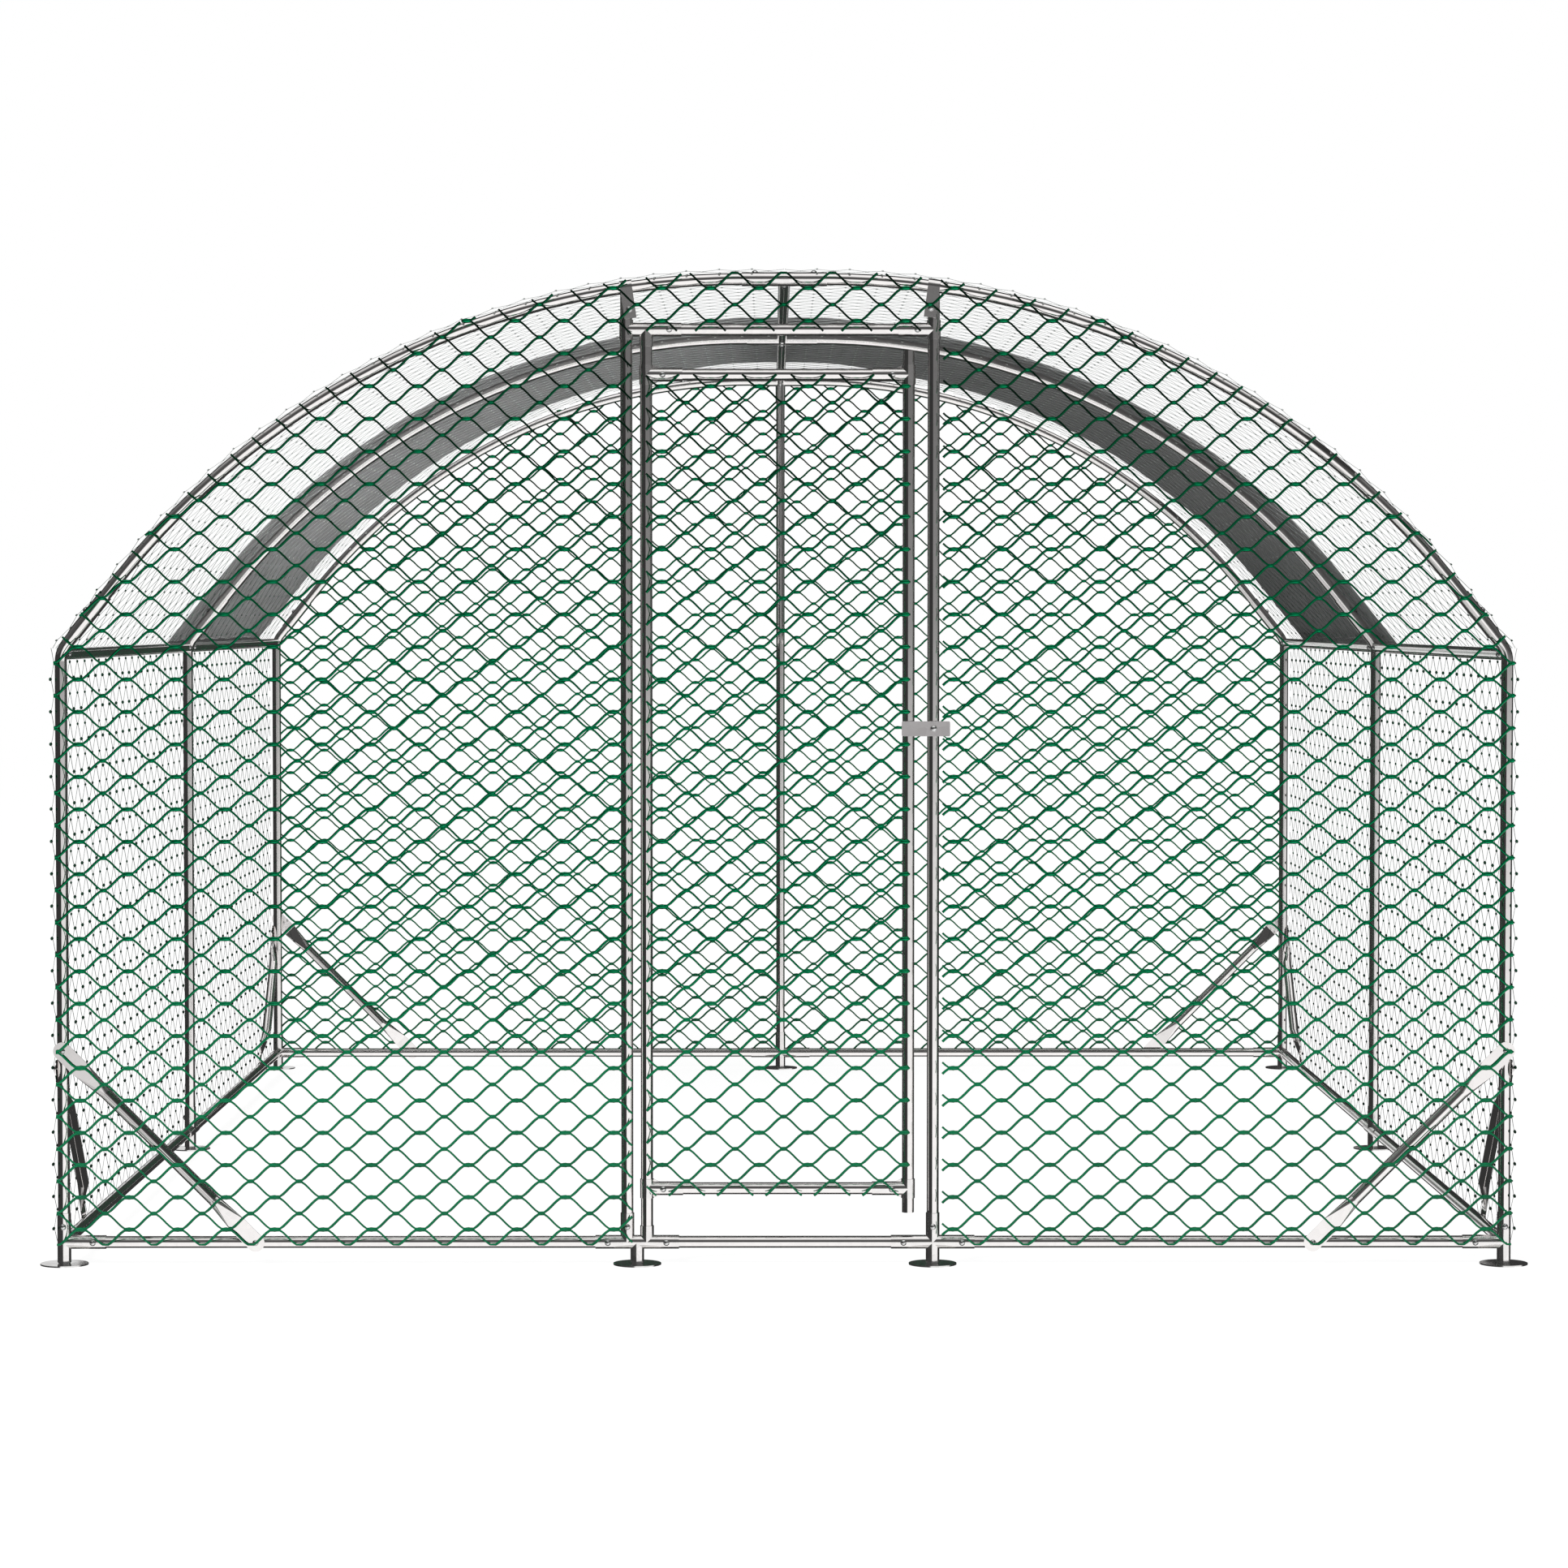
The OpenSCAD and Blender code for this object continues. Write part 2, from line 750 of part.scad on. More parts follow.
module post_sleeve(x) {
    translate([x, -half_l, lintel_z - tee_sleeve_h / 2])
        cylinder(h = tee_sleeve_h, r = sleeve_r);
}

module post_sleeve_bore(x) {
    translate([x, -half_l, lintel_z - tee_sleeve_h / 2 - over])
        cylinder(h = tee_sleeve_h + 2 * over, r = sleeve_bore_r);
}

// Sleeve on the hinge post, with an arm for the lintel and a socket for the hinge stile's top
module hinge_lintel_fitting() {
    steel()
        difference() {
            union() {
                post_sleeve(hinge_post_x);
                translate([hinge_post_x, -half_l, lintel_z])
                    level(0)
                        cylinder(h = hinge_offset + lintel_arm_l, r = sleeve_r);
                translate([hinge_x, -half_l, pivot_high_z - pivot_depth])
                    cylinder(h = lintel_z - pivot_high_z + pivot_depth, r = sleeve_r);
            }
            post_sleeve_bore(hinge_post_x);
            translate([hinge_x + sleeve_r, -half_l, lintel_z])
                level(0)
                    cylinder(h = lintel_arm_l, r = sleeve_bore_r);
            translate([hinge_x, -half_l, pivot_high_z - pivot_depth - over])
                cylinder(h = pivot_depth + over, r = pivot_r);
            drill([LINTEL_SCREWS[0]]);
        }
}

module latch_lintel_fitting() {
    steel()
        difference() {
            union() {
                post_sleeve(latch_post_x);
                translate([latch_post_x, -half_l, lintel_z])
                    level(180)
                        cylinder(h = lintel_arm_l, r = sleeve_r);
            }
            post_sleeve_bore(latch_post_x);
            translate([latch_post_x - sleeve_r, -half_l, lintel_z])
                level(180)
                    cylinder(h = lintel_arm_l, r = sleeve_bore_r);
            drill([LINTEL_SCREWS[1]]);
        }
}

// Round discs with a hollow stem up into the fitting above
module foot(x, y, top) {
    translate([x, y, 0]) {
        cylinder(h = foot_t, d = foot_d);
        translate([0, 0, foot_t])
            pipe(top - foot_t);
    }
}

module feet() {
    plated() {
        for (f = CROSSES)
            foot(f[0], f[1], rail_z - fit_gap);
        foot(sill_fit_x, -half_l, rail_z - sleeve_r - fit_gap);
    }
}

// A diagonal tube with flattened ends that lie on the outside of the post and the rail
module brace_shape(leg) {
    span = leg * sqrt(2);
    axis = plate_out - tube_r;
    neck = brace_flat_l + brace_neck_l;
    rotate([0, 45, 0]) {
        translate([neck, -axis, 0])
            level(0)
                pipe(span - 2 * neck);
        for (end = [0, 1])
            translate([end * span, 0, 0])
                mirror([end, 0, 0]) {
                    difference() {
                        translate([0, -plate_in, 0])
                            rotate([90, 0, 0])
                                linear_extrude(brace_plate_t) {
                                    circle(brace_plate_w / 2);
                                    translate([0, -brace_plate_w / 2])
                                        square([brace_flat_l, brace_plate_w]);
                                }
                        level(-90)
                            cylinder(h = plate_out + over, r = hole_r);
                    }
                    brace_neck(axis);
                }
    }
}

module brace_neck(axis) {
    slice = over / 2;
    difference() {
        hull() {
            translate([brace_flat_l, -plate_out, -brace_plate_w / 2])
                cube([slice, brace_plate_t, brace_plate_w]);
            translate([brace_flat_l + brace_neck_l - slice, -axis, 0])
                level(0)
                    cylinder(h = slice, r = tube_r, $fn = hull_fn);
        }
        translate([brace_flat_l + brace_neck_l / 2, -axis, 0])
            level(0)
                cylinder(h = brace_neck_l, r1 = 0, r2 = 2 * spigot_r);
    }
}

module front_braces() {
    steel()
        for (s = [0, 1])
            mirror([s, 0, 0])
                translate([-half_w, -half_l, rail_z + brace_leg])
                    brace_shape(brace_leg);
}

module rear_braces() {
    mirror([0, 1, 0])
        front_braces();
}

module left_braces() {
    steel()
        for (s = [0, 1])
            mirror([0, s, 0])
                translate([-half_w, half_l, rail_z + side_leg])
                    rotate([0, 0, -90])
                        brace_shape(side_leg);
}

module right_braces() {
    mirror([1, 0, 0])
        left_braces();
}

module frame_screws() {
    plated() {
        screws_at(SLEEVE_SCREWS, sleeve_r);
        for (x = CLIPS)
            clip_place(x)
                translate([0, 0, -clip_screw])
                    level(-90)
                        translate([0, 0, plate_in + clip_t + head_gap])
                            screw();
        for (y = ARCHES)
            translate([0, y, 0])
                for (s = [0, 1])
                    mirror([s, 0, 0]) {
                        translate([arm_screw, 0, crown_z + sleeve_r + head_gap])
                            screw();
                        up_haunch(socket_screw_l)
                            rotate([0, 90, 0])
                                translate([0, 0, sleeve_r + head_gap])
                                    screw();
                    }
        for (s = [-1, 1])
            for (y = [purlin_screw, half_l - purlin_screw]) {
                translate([0, s * y, crown_z])
                    rotate([180, 0, 0])
                        translate([0, 0, tube_r + head_gap])
                            screw();
                for (side = [-1, 1])
                    translate([side * half_w, s * y, eave_z])
                        level(side < 0 ? 0 : 180)
                            translate([0, 0, tube_r + head_gap])
                                screw();
            }
    }
}

module brace_screws() {
    plated()
        screws_at(BRACE_SCREWS, plate_out);
}

// Shouldered pivot screw with a bush that holds the latch plate clear of the nets
module latch_screw() {
    plated()
        translate([latch_post_x, -half_l, latch_z])
            level(-90) {
                translate([0, 0, tube_r + head_gap])
                    cylinder(h = latch_back - pivot_gap - tube_r - head_gap, d = latch_bush_d);
                translate([0, 0, latch_back + latch_t + pivot_gap])
                    screw(latch_head_d, latch_pin_d, latch_back + latch_t - tube_r + shank_l / 2);
            }
}

// A net in the XY plane: an outline with a lattice of diamond gaps inside its inner outline
module net_sheet(low, high) {
    columns = ceil((high[0] - low[0]) / mesh_w) + 1;
    rows = ceil((high[1] - low[1]) / mesh_h) + 1;
    centre = (low + high) / 2;
    linear_extrude(net_t)
        difference() {
            children(0);
            intersection() {
                children(1);
                for (i = [-columns : columns])
                    for (j = [-rows : rows])
                        if ((i + j) % 2 == 0)
                            translate(centre + [i * mesh_w / 2, j * mesh_h / 2])
                                mesh_gap();
            }
        }
}

module mesh_gap() {
    polygon([
        [gap_share * mesh_w / 2, 0],
        [0, gap_share * mesh_h / 2],
        [-gap_share * mesh_w / 2, 0],
        [0, -gap_share * mesh_h / 2]
    ]);
}

module box_outline(low, high, inset) {
    translate(low + [inset, inset])
        square(high - low - 2 * [inset, inset]);
}

// Part of the arch's outline between two places across the run
module arch_outline(x0, x1, z0, inset) {
    points = half_arch(net_top_over - inset);
    side = half_w + net_side_over;
    intersection() {
        polygon(concat([[-side, 0]], mirrored_wide(points, side), widened(points, side), [[side, 0]]));
        translate([x0 + inset, z0 + inset])
            square([x1 - x0 - 2 * inset, crown_z + net_top_over]);
    }
}

// The eave end of the outline runs out to the net's side edge
function widened(points, side) = [for (i = [0 : len(points) - 1])
    i < len(points) - 1 ? points[i] : [side, points[i][1]]];
function mirrored_wide(points, side) = mirrored(widened(points, side));

module arch_net(x0, x1, z0) {
    low = [x0, z0];
    high = [x1, crown_z + net_top_over];
    rotate([90, 0, 0])
        net_sheet(low, high) {
            arch_outline(x0, x1, z0, 0);
            arch_outline(x0, x1, z0, strand_w);
        }
}

module front_left_net() {
    green_wire()
        translate([0, -half_l - wall_in, 0])
            arch_net(-half_w - net_side_over, hinge_post_x + net_hinge_over, rail_z - net_drop);
}

module front_right_net() {
    green_wire()
        translate([0, -half_l - wall_in, 0])
            arch_net(latch_post_x + net_latch_over, half_w + net_side_over, rail_z - net_drop);
}

module over_door_net() {
    green_wire()
        translate([0, -half_l - wall_in, 0])
            arch_net(
                hinge_post_x + net_hinge_over + seat_gap,
                latch_post_x + net_latch_over - seat_gap,
                lintel_z - net_drop
            );
}

module rear_net() {
    side = half_w + net_side_over;
    green_wire()
        translate([0, half_l + wall_out, 0])
            arch_net(-side, side, rail_z - net_drop);
}

module box_net(low, high) {
    net_sheet(low, high) {
        box_outline(low, high, 0);
        box_outline(low, high, strand_w);
    }
}

module side_net(side) {
    reach = half_l + net_side_over;
    green_wire()
        translate([side < 0 ? -half_w - wall_out : half_w + wall_in, 0, 0])
            rotate([90, 0, 90])
                box_net([-reach, rail_z - net_drop], [reach, roof_foot_z - strip_gap]);
}

// One flat strip of the roof net, from one distance to another down the slope
module roof_strip(from, to) {
    reach = half_l + net_side_over;
    box_net([from + strip_gap, -reach], [to - strip_gap, reach]);
}

// Places a strip tangent to the offset arc, at an angle down from the crown
module on_slope(angle) {
    translate([crown_flat, 0, bow_centre_z])
        rotate([0, angle, 0])
            translate([0, 0, strip_r])
                children();
}

module roof_net() {
    green_wire() {
        on_slope(0)
            roof_strip(-2 * crown_flat - strip_tip, strip_tip);
        for (s = [0, 1])
            mirror([s, 0, 0]) {
                for (i = [1 : roof_steps - 1])
                    on_slope(i * roof_step)
                        roof_strip(-strip_tip, strip_tip);
                on_slope(haunch_angle)
                    roof_strip(-strip_tip, roof_foot_l);
            }
    }
}

// Cloth that lies over the roof net from eave to eave
module roof_cover() {
    inner = half_cover(cover_in);
    outer = half_cover(cover_in + cover_t);
    color([0.38, 0.38, 0.38])
        translate([0, -half_l + cover_start + cover_l, 0])
            rotate([90, 0, 0])
                linear_extrude(cover_l)
                    polygon(concat(mirrored(outer), outer, reversed(concat(mirrored(inner), inner))));
}

// The cover's outline ends square to the haunch at the eave corner
function half_cover(out) = [for (i = [0 : arc_steps + 1])
    i <= arc_steps ? half_arch(out)[i]
        : [half_w + out * sin(haunch_angle), corner_z + out * cos(haunch_angle)]];
function reversed(points) = [for (i = [len(points) - 1 : -1 : 0]) points[i]];

module hinge_stile() {
    steel()
        tube_between([hinge_x, -half_l, pivot_low_z + seat_gap],
            [hinge_x, -half_l, pivot_high_z - seat_gap]);
}

module latch_stile() {
    steel()
        tube_between([latch_x, -half_l, door_bottom_z - stile_stub],
            [latch_x, -half_l, door_top_z + stile_stub]);
}

module door_rail(z) {
    steel()
        difference() {
            tube_between([hinge_x + arm_start, -half_l, z], [latch_x - arm_start, -half_l, z]);
            drill([for (s = DOOR_SCREWS) if (s[0][2] == z) s]);
        }
}

// Sleeve on a stile with an arm for a rail and two gusset webs
module door_tee(x, z, toward) {
    difference() {
        union() {
            translate([x, -half_l, z - tee_sleeve_h / 2])
                cylinder(h = tee_sleeve_h, r = sleeve_r);
            translate([x, -half_l, z])
                level(toward)
                    cylinder(h = tee_arm_l, r = sleeve_r);
            translate([x, -half_l + gusset_t / 2, z])
                rotate([90, 0, 0])
                    linear_extrude(gusset_t)
                        gusset_outline(toward == 0 ? 1 : -1);
        }
        translate([x, -half_l, z - tee_sleeve_h / 2 - over])
            cylinder(h = tee_sleeve_h + 2 * over, r = sleeve_bore_r);
        translate([x, -half_l, z])
            level(toward)
                translate([0, 0, sleeve_r])
                    cylinder(h = tee_arm_l, r = sleeve_bore_r);
        drill([for (s = DOOR_SCREWS) if (s[0][2] == z && abs(s[0][0] - x) < tee_arm_l) s]);
    }
}

module gusset_outline(sense) {
    root = sleeve_r - sleeve_wall / 2;
    for (s = [-1, 1])
        polygon([
            [sense * root, s * root],
            [sense * root, s * tee_sleeve_h / 2],
            [sense * (sleeve_r + gusset_l), s * root]
        ]);
}

module door_tees() {
    steel()
        for (z = [door_bottom_z, door_top_z]) {
            door_tee(hinge_x, z, 0);
            door_tee(latch_x, z, 180);
        }
}

module door_net() {
    green_wire()
        translate([0, -half_l - door_net_in, 0])
            rotate([90, 0, 0])
                box_net([hinge_x, door_bottom_z - tube_r], [latch_x, door_top_z]);
}

module door_screws() {
    plated()
        screws_at(DOOR_SCREWS, sleeve_r);
}

module latch_plate() {
    far = latch_l - latch_heel;
    plated()
        translate([latch_post_x, -half_l - latch_back, latch_z])
            rotate([90, 0, 0])
                linear_extrude(latch_t)
                    difference() {
                        union() {
                            translate([-far, -latch_h / 2 + latch_corner_r])
                                square([latch_l, latch_h - 2 * latch_corner_r]);
                            translate([-far + latch_corner_r, -latch_h / 2])
                                square([latch_l - 2 * latch_corner_r, latch_h]);
                            for (x = [-far + latch_corner_r, latch_heel - latch_corner_r])
                                for (y = [-1, 1])
                                    translate([x, y * (latch_h / 2 - latch_corner_r)])
                                        circle(latch_corner_r);
                        }
                        circle(latch_pin_d / 2 + pivot_gap);
                    }
}

post(-1, -half_l, [1]);  // front_left_post
post(1, -half_l, [1]);  // front_right_post
post(-1, 0, [-1, 1]);  // middle_left_post
post(1, 0, [-1, 1]);  // middle_right_post
post(-1, half_l, [-1]);  // rear_left_post
post(1, half_l, [-1]);  // rear_right_post
bow(-1, -half_l);  // front_left_bow
bow(1, -half_l);  // front_right_bow
bow(-1, 0);  // middle_left_bow
bow(1, 0);  // middle_right_bow
bow(-1, half_l);  // rear_left_bow
bow(1, half_l);  // rear_right_bow
crown_fitting(-half_l, [1], false);  // front_crown_fitting
crown_fitting(0, [-1, 1], false);  // middle_crown_fitting
crown_fitting(half_l, [-1], true);  // rear_crown_fitting
ridge_tubes();
eave_tubes(-1);  // left_eave_tubes
eave_tubes(1);  // right_eave_tubes
corner_fittings();
middle_tees();
rear_centre_tee();
hinge_side_sill_fitting();
latch_side_sill_fitting();
front_left_rail();
door_sill();
front_right_rail();
rear_rails();
side_rails(-1);  // left_side_rails
side_rails(1);  // right_side_rails
rear_centre_post();
hinge_post();
latch_post();
lintel();
hinge_lintel_fitting();
latch_lintel_fitting();
post_clips();
feet();
front_braces();
rear_braces();
left_braces();
right_braces();
frame_screws();
brace_screws();
latch_screw();
front_left_net();
front_right_net();
over_door_net();
rear_net();
side_net(-1);  // left_net
side_net(1);  // right_net
roof_net();
roof_cover();
hinge_stile();
latch_stile();
door_rail(door_top_z);  // door_top_rail
door_rail(door_bottom_z);  // door_bottom_rail
door_tees();
door_net();
door_screws();
latch_plate();
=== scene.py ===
import json
import math
from typing import NamedTuple

import bmesh
import bpy
import numpy as np
from bpy.props import FloatProperty, FloatVectorProperty, PointerProperty
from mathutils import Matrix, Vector


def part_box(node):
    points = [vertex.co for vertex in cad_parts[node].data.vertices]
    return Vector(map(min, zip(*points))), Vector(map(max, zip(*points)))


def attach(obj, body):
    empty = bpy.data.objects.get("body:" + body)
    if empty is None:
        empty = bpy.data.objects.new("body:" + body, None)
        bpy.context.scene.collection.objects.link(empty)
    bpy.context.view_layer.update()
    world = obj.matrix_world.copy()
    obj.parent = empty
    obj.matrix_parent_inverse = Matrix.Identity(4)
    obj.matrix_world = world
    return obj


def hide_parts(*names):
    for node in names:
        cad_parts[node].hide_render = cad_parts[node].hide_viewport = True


bl_info = {
    "name": "Walk-in Poultry Run",
    "version": (1, 0, 0),
    "blender": (4, 5, 0),
    "location": "View3D > Sidebar > Poultry Run",
    "description": "Dresses a tube-framed poultry run with wire netting, a roof cover "
                   "and its finishes",
    "category": "Object",
}

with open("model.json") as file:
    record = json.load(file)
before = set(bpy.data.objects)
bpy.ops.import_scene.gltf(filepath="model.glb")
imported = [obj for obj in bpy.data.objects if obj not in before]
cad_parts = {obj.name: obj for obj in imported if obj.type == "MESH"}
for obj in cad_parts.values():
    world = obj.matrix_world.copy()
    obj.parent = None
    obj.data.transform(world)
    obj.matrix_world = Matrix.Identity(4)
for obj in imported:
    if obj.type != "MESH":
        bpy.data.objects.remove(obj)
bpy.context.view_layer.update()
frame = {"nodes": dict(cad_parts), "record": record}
SLOTS = {entry["node"]: entry["material_slot"] for entry in frame["record"]["subparts"]}


class RunSizes(bpy.types.PropertyGroup):
    """Sizes of the tube frame that the netting and the cover follow"""

    width: FloatProperty(
        name="Width", description="Distance between the left and right post axes",
        default=3.0, min=0.5, unit="LENGTH")
    crown_height: FloatProperty(
        name="Crown Height", description="Height of the bow axis at the crown",
        default=2.046, min=0.5, unit="LENGTH")
    crown_flat: FloatProperty(
        name="Crown Flat", description="Half of the straight length at the crown",
        default=0.088, min=0.0, unit="LENGTH")
    haunch_angle: FloatProperty(
        name="Haunch Angle", description="Slope of the straight part above the eave",
        default=math.radians(51.3), subtype="ANGLE")
    haunch_length: FloatProperty(
        name="Haunch Length", description="Length of the straight part above the eave",
        default=0.19, min=0.0, unit="LENGTH")
    net_rise: FloatProperty(
        name="Net Above Bow", description="Height of the roof netting above the bow axis",
        default=0.0205, min=0.0, unit="LENGTH")
    arch_overlap: FloatProperty(
        name="Net Past Arch", description="Reach of the end walls' netting past the arch axis",
        default=0.014, unit="LENGTH")


class NetSizes(bpy.types.PropertyGroup):
    """Sizes and colours of the twisted wire netting"""

    mesh_width: FloatProperty(
        name="Mesh Width", description="Distance between knots along a row",
        default=0.1007, min=0.01, unit="LENGTH")
    side_mesh_width: FloatProperty(
        name="Side Mesh Width",
        description="Distance between knots along a row of the sides and the roof",
        default=0.1021, min=0.01, unit="LENGTH")
    mesh_height: FloatProperty(
        name="Mesh Height", description="Distance between rows of like knots",
        default=0.06725, min=0.01, unit="LENGTH")
    wire: FloatProperty(
        name="Wire", description="Diameter of the coated wire at the door end",
        default=0.0048, min=0.0005, unit="LENGTH")
    rear_wire: FloatProperty(
        name="Rear Wire", description="Diameter of the coated wire at the rear end",
        default=0.0052, min=0.0005, unit="LENGTH")
    fine_wire: FloatProperty(
        name="Fine Wire", description="Diameter of the wire of the side netting",
        default=0.0012, min=0.0005, unit="LENGTH")
    roof_wire: FloatProperty(
        name="Roof Wire", description="Diameter of the wire of the roof netting",
        default=0.0011, min=0.0005, unit="LENGTH")
    rising_share: FloatProperty(
        name="Rising Share",
        description="Share by which rising lengths of wire are thicker than the mean",
        default=0.14, min=0.0, max=0.5)
    fat_length: FloatProperty(
        name="Fat Knot Length", description="Length of the twist in every other row",
        default=0.021, min=0.002, unit="LENGTH")
    fat_width: FloatProperty(
        name="Fat Knot Width", description="Width of the twist in every other row",
        default=0.0098, min=0.001, unit="LENGTH")
    thin_length: FloatProperty(
        name="Thin Knot Length", description="Length of the twist in the rows between",
        default=0.012, min=0.002, unit="LENGTH")
    thin_width: FloatProperty(
        name="Thin Knot Width", description="Width of the twist in the rows between",
        default=0.0075, min=0.001, unit="LENGTH")
    knot_column: FloatProperty(
        name="Knot Column", description="Place of a column of fat knots across an end wall",
        default=0.0488, unit="LENGTH")
    side_column: FloatProperty(
        name="Side Knot Column", description="Place of a column of fat knots along a side",
        default=0.036, unit="LENGTH")
    knot_row: FloatProperty(
        name="Knot Row", description="Height of the lowest row of fat knots on a wall",
        default=0.0758, unit="LENGTH")
    coat: FloatVectorProperty(
        name="Coat", description="Colour of the wire's coating",
        default=(0.003, 0.27, 0.1), subtype="COLOR", min=0.0, max=1.0)
    # This coat colour is used low down; random stains keep a little of it higher up
    lower_coat: FloatVectorProperty(
        name="Lower Coat", description="Colour of the coating where it is stained darker",
        default=(0.002, 0.105, 0.042), subtype="COLOR", min=0.0, max=1.0)
    # Painted shade: the near-black coat that the falling strands get high up, the rising ones less
    painted_shade_coat: FloatVectorProperty(
        name="Painted Shade Coat", description="Colour of the coating where it has darkened high up",
        default=(0.004, 0.026, 0.013), subtype="COLOR", min=0.0, max=1.0)
    # Dark coat of the side netting, which the roof netting also has low down
    dark_coat: FloatVectorProperty(
        name="Dark Coat", description="Colour of the weathered coating on the sides and the roof",
        default=(0.006, 0.04, 0.02), subtype="COLOR", min=0.0, max=1.0)
    # Colour of the side netting's coat low down, darker than higher up
    lower_dark_coat: FloatVectorProperty(
        name="Lower Dark Coat",
        description="Colour of the weathered coating where it is darkest",
        default=(0.003, 0.015, 0.008), subtype="COLOR", min=0.0, max=1.0)
    # Pale coat that the roof netting has near the crown, paler than lower down
    crown_coat: FloatVectorProperty(
        name="Crown Coat",
        description="Colour of the coating that the sun has bleached near the crown",
        default=(0.42, 0.44, 0.43), subtype="COLOR", min=0.0, max=1.0)


class CoverSizes(bpy.types.PropertyGroup):
    """Sizes and colour of the roof cover"""

    rise: FloatProperty(
        name="Cover Above Bow", description="Height of the cover's underside above the bow axis",
        default=0.0248, min=0.0, unit="LENGTH")
    thickness: FloatProperty(
        name="Thickness", description="Thickness of the cloth",
        default=0.0009, min=0.0002, unit="LENGTH")
    hem: FloatProperty(
        name="Hem", description="Width of the turned and sewn edge",
        default=0.03, min=0.005, unit="LENGTH")
    ripple: FloatProperty(
        name="Ripple", description="Height of the cloth's slack between the arches",
        default=0.003, min=0.0, unit="LENGTH")
    ridge_lift: FloatProperty(
        name="Ridge Lift", description="Height by which the ridge lifts the cloth",
        default=0.018, min=0.0, unit="LENGTH")
    ridge_reach: FloatProperty(
        name="Ridge Reach", description="Distance from the ridge to where the cloth meets the bows",
        default=0.42, min=0.1, unit="LENGTH")
    skirt: FloatProperty(
        name="Skirt", description="Length of the edge that hangs past the eave",
        default=0.03, min=0.0, unit="LENGTH")
    cloth: FloatVectorProperty(
        name="Cloth", description="Colour of the coated cloth",
        default=(0.145, 0.145, 0.145), subtype="COLOR", min=0.0, max=1.0)


class StageSizes(bpy.types.PropertyGroup):
    """Floor, light and camera"""

    floor: FloatProperty(
        name="Floor", description="Side of the floor", default=60.0, min=10.0, unit="LENGTH")
    white: FloatProperty(
        name="Ambient", description="Strength of the even studio light", default=0.6, min=0.0)
    key: FloatProperty(
        name="Key", description="Power of the lamp at the upper left", default=900.0, min=0.0)
    lens: FloatProperty(
        name="Lens", description="Focal length of the camera in millimetres",
        default=101.58, min=10.0)


class PoultryRun(bpy.types.PropertyGroup):
    """Everything that a user would change on the run"""

    run: PointerProperty(type=RunSizes)
    net: PointerProperty(type=NetSizes)
    cover: PointerProperty(type=CoverSizes)
    stage: PointerProperty(type=StageSizes)


# Netting
ARC_STEPS = 24  # Lengths that half an arch is drawn with
KNOT_RINGS, KNOT_SIDES = 5, 6  # Rings and sides of a knot's mesh
FAT_TUCK, THIN_TUCK = 0.5, 0.48  # Shares of the knots' lengths that a strand runs into
STRAND_EASE = 0.38  # How far a strand bends from a straight line towards a full wave
STRAND_LIFT = 0.4  # Distance from a strand's end to its row's middle, in wire diameters
KNOT_INSET = 0.001  # Distance inside an outline at which knots start
# Painted shade on the strands: falling ones get the most, rising ones less, knots none
SHADE_MEAN, SHADE_SWING = 0.82, 0.18  # Darkening of strands, and how much less it is of rising ones

# Heights between which the wire's coat turns from one colour to the other, and between which its
# painted shade comes in
UPPER_FROM, SHADE_FROM, CROWN_FROM = (0.15, 0.75), (1.0, 1.9), (1.42, 1.62)

# Cover
COVER_ROWS, COVER_COLUMNS = 151, 73
COVER_LEAN = math.radians(55)  # Slope of the skirt
RIDGE_FLAT = 0.05  # Distance from the ridge over which the cloth lies level
SLACK_BASE, SLACK_SWAY = 0.3, 0.5  # Least slack, and how much it sways, as shares of the ripple
SLACK_ACROSS, SLACK_ALONG, EDGE_WAVES = 7, 5, 23  # Waves of the slack, and of the lower edges
THREADS, CLOTH_BANDS = 95.0, 9.0  # Scales of the weave and of the faint bands
SEAM_PLACE, SEAM_HALF, STITCH = 0.85, 0.0011, 0.007  # Share of the hem, half width, pitch

# Zinc finishes by slot: name, colour, share of it where dull, least and greatest roughness,
# scale of the spangle, relief
ZINC = {
    "tube": ("bright zinc tube", (0.96, 0.93, 0.92), 0.93, 0.035, 0.07, 90.0, 0.0002),
    "fittings": ("zinc fitting", (0.94, 0.915, 0.905), 0.92, 0.1, 0.16, 110.0, 0.0002),
    "screws": ("zinc plated screw", (0.8, 0.8, 0.8), 0.85, 0.15, 0.25, 300.0, 0.0002),
    "latch": ("zinc sheet", (0.84, 0.81, 0.81), 0.9, 0.42, 0.55, 70.0, 0.0004),
    "feet": ("dull zinc sheet", (0.9, 0.89, 0.88), 0.85, 0.12, 0.2, 60.0, 0.0003),
}
SPANGLE_SHARE, BLOOM_SCALE = 0.35, 9.0

# Camera, fitted to the object
CAMERA_PLACE = (-0.027, -11.179, 1.351)
CAMERA_TILT, CAMERA_PAN = math.radians(87.821), math.radians(-0.164)

# Brightness of the studio by the sine of the elevation: white floor, dark wall, white ceiling
STUDIO_BANDS = (
    (-0.11, 1.0), (-0.05, 0.7), (0.0, 0.26), (0.05, 0.16), (0.26, 0.06),
    (0.5, 0.08), (0.67, 0.16), (0.78, 0.6), (0.87, 1.0),
)
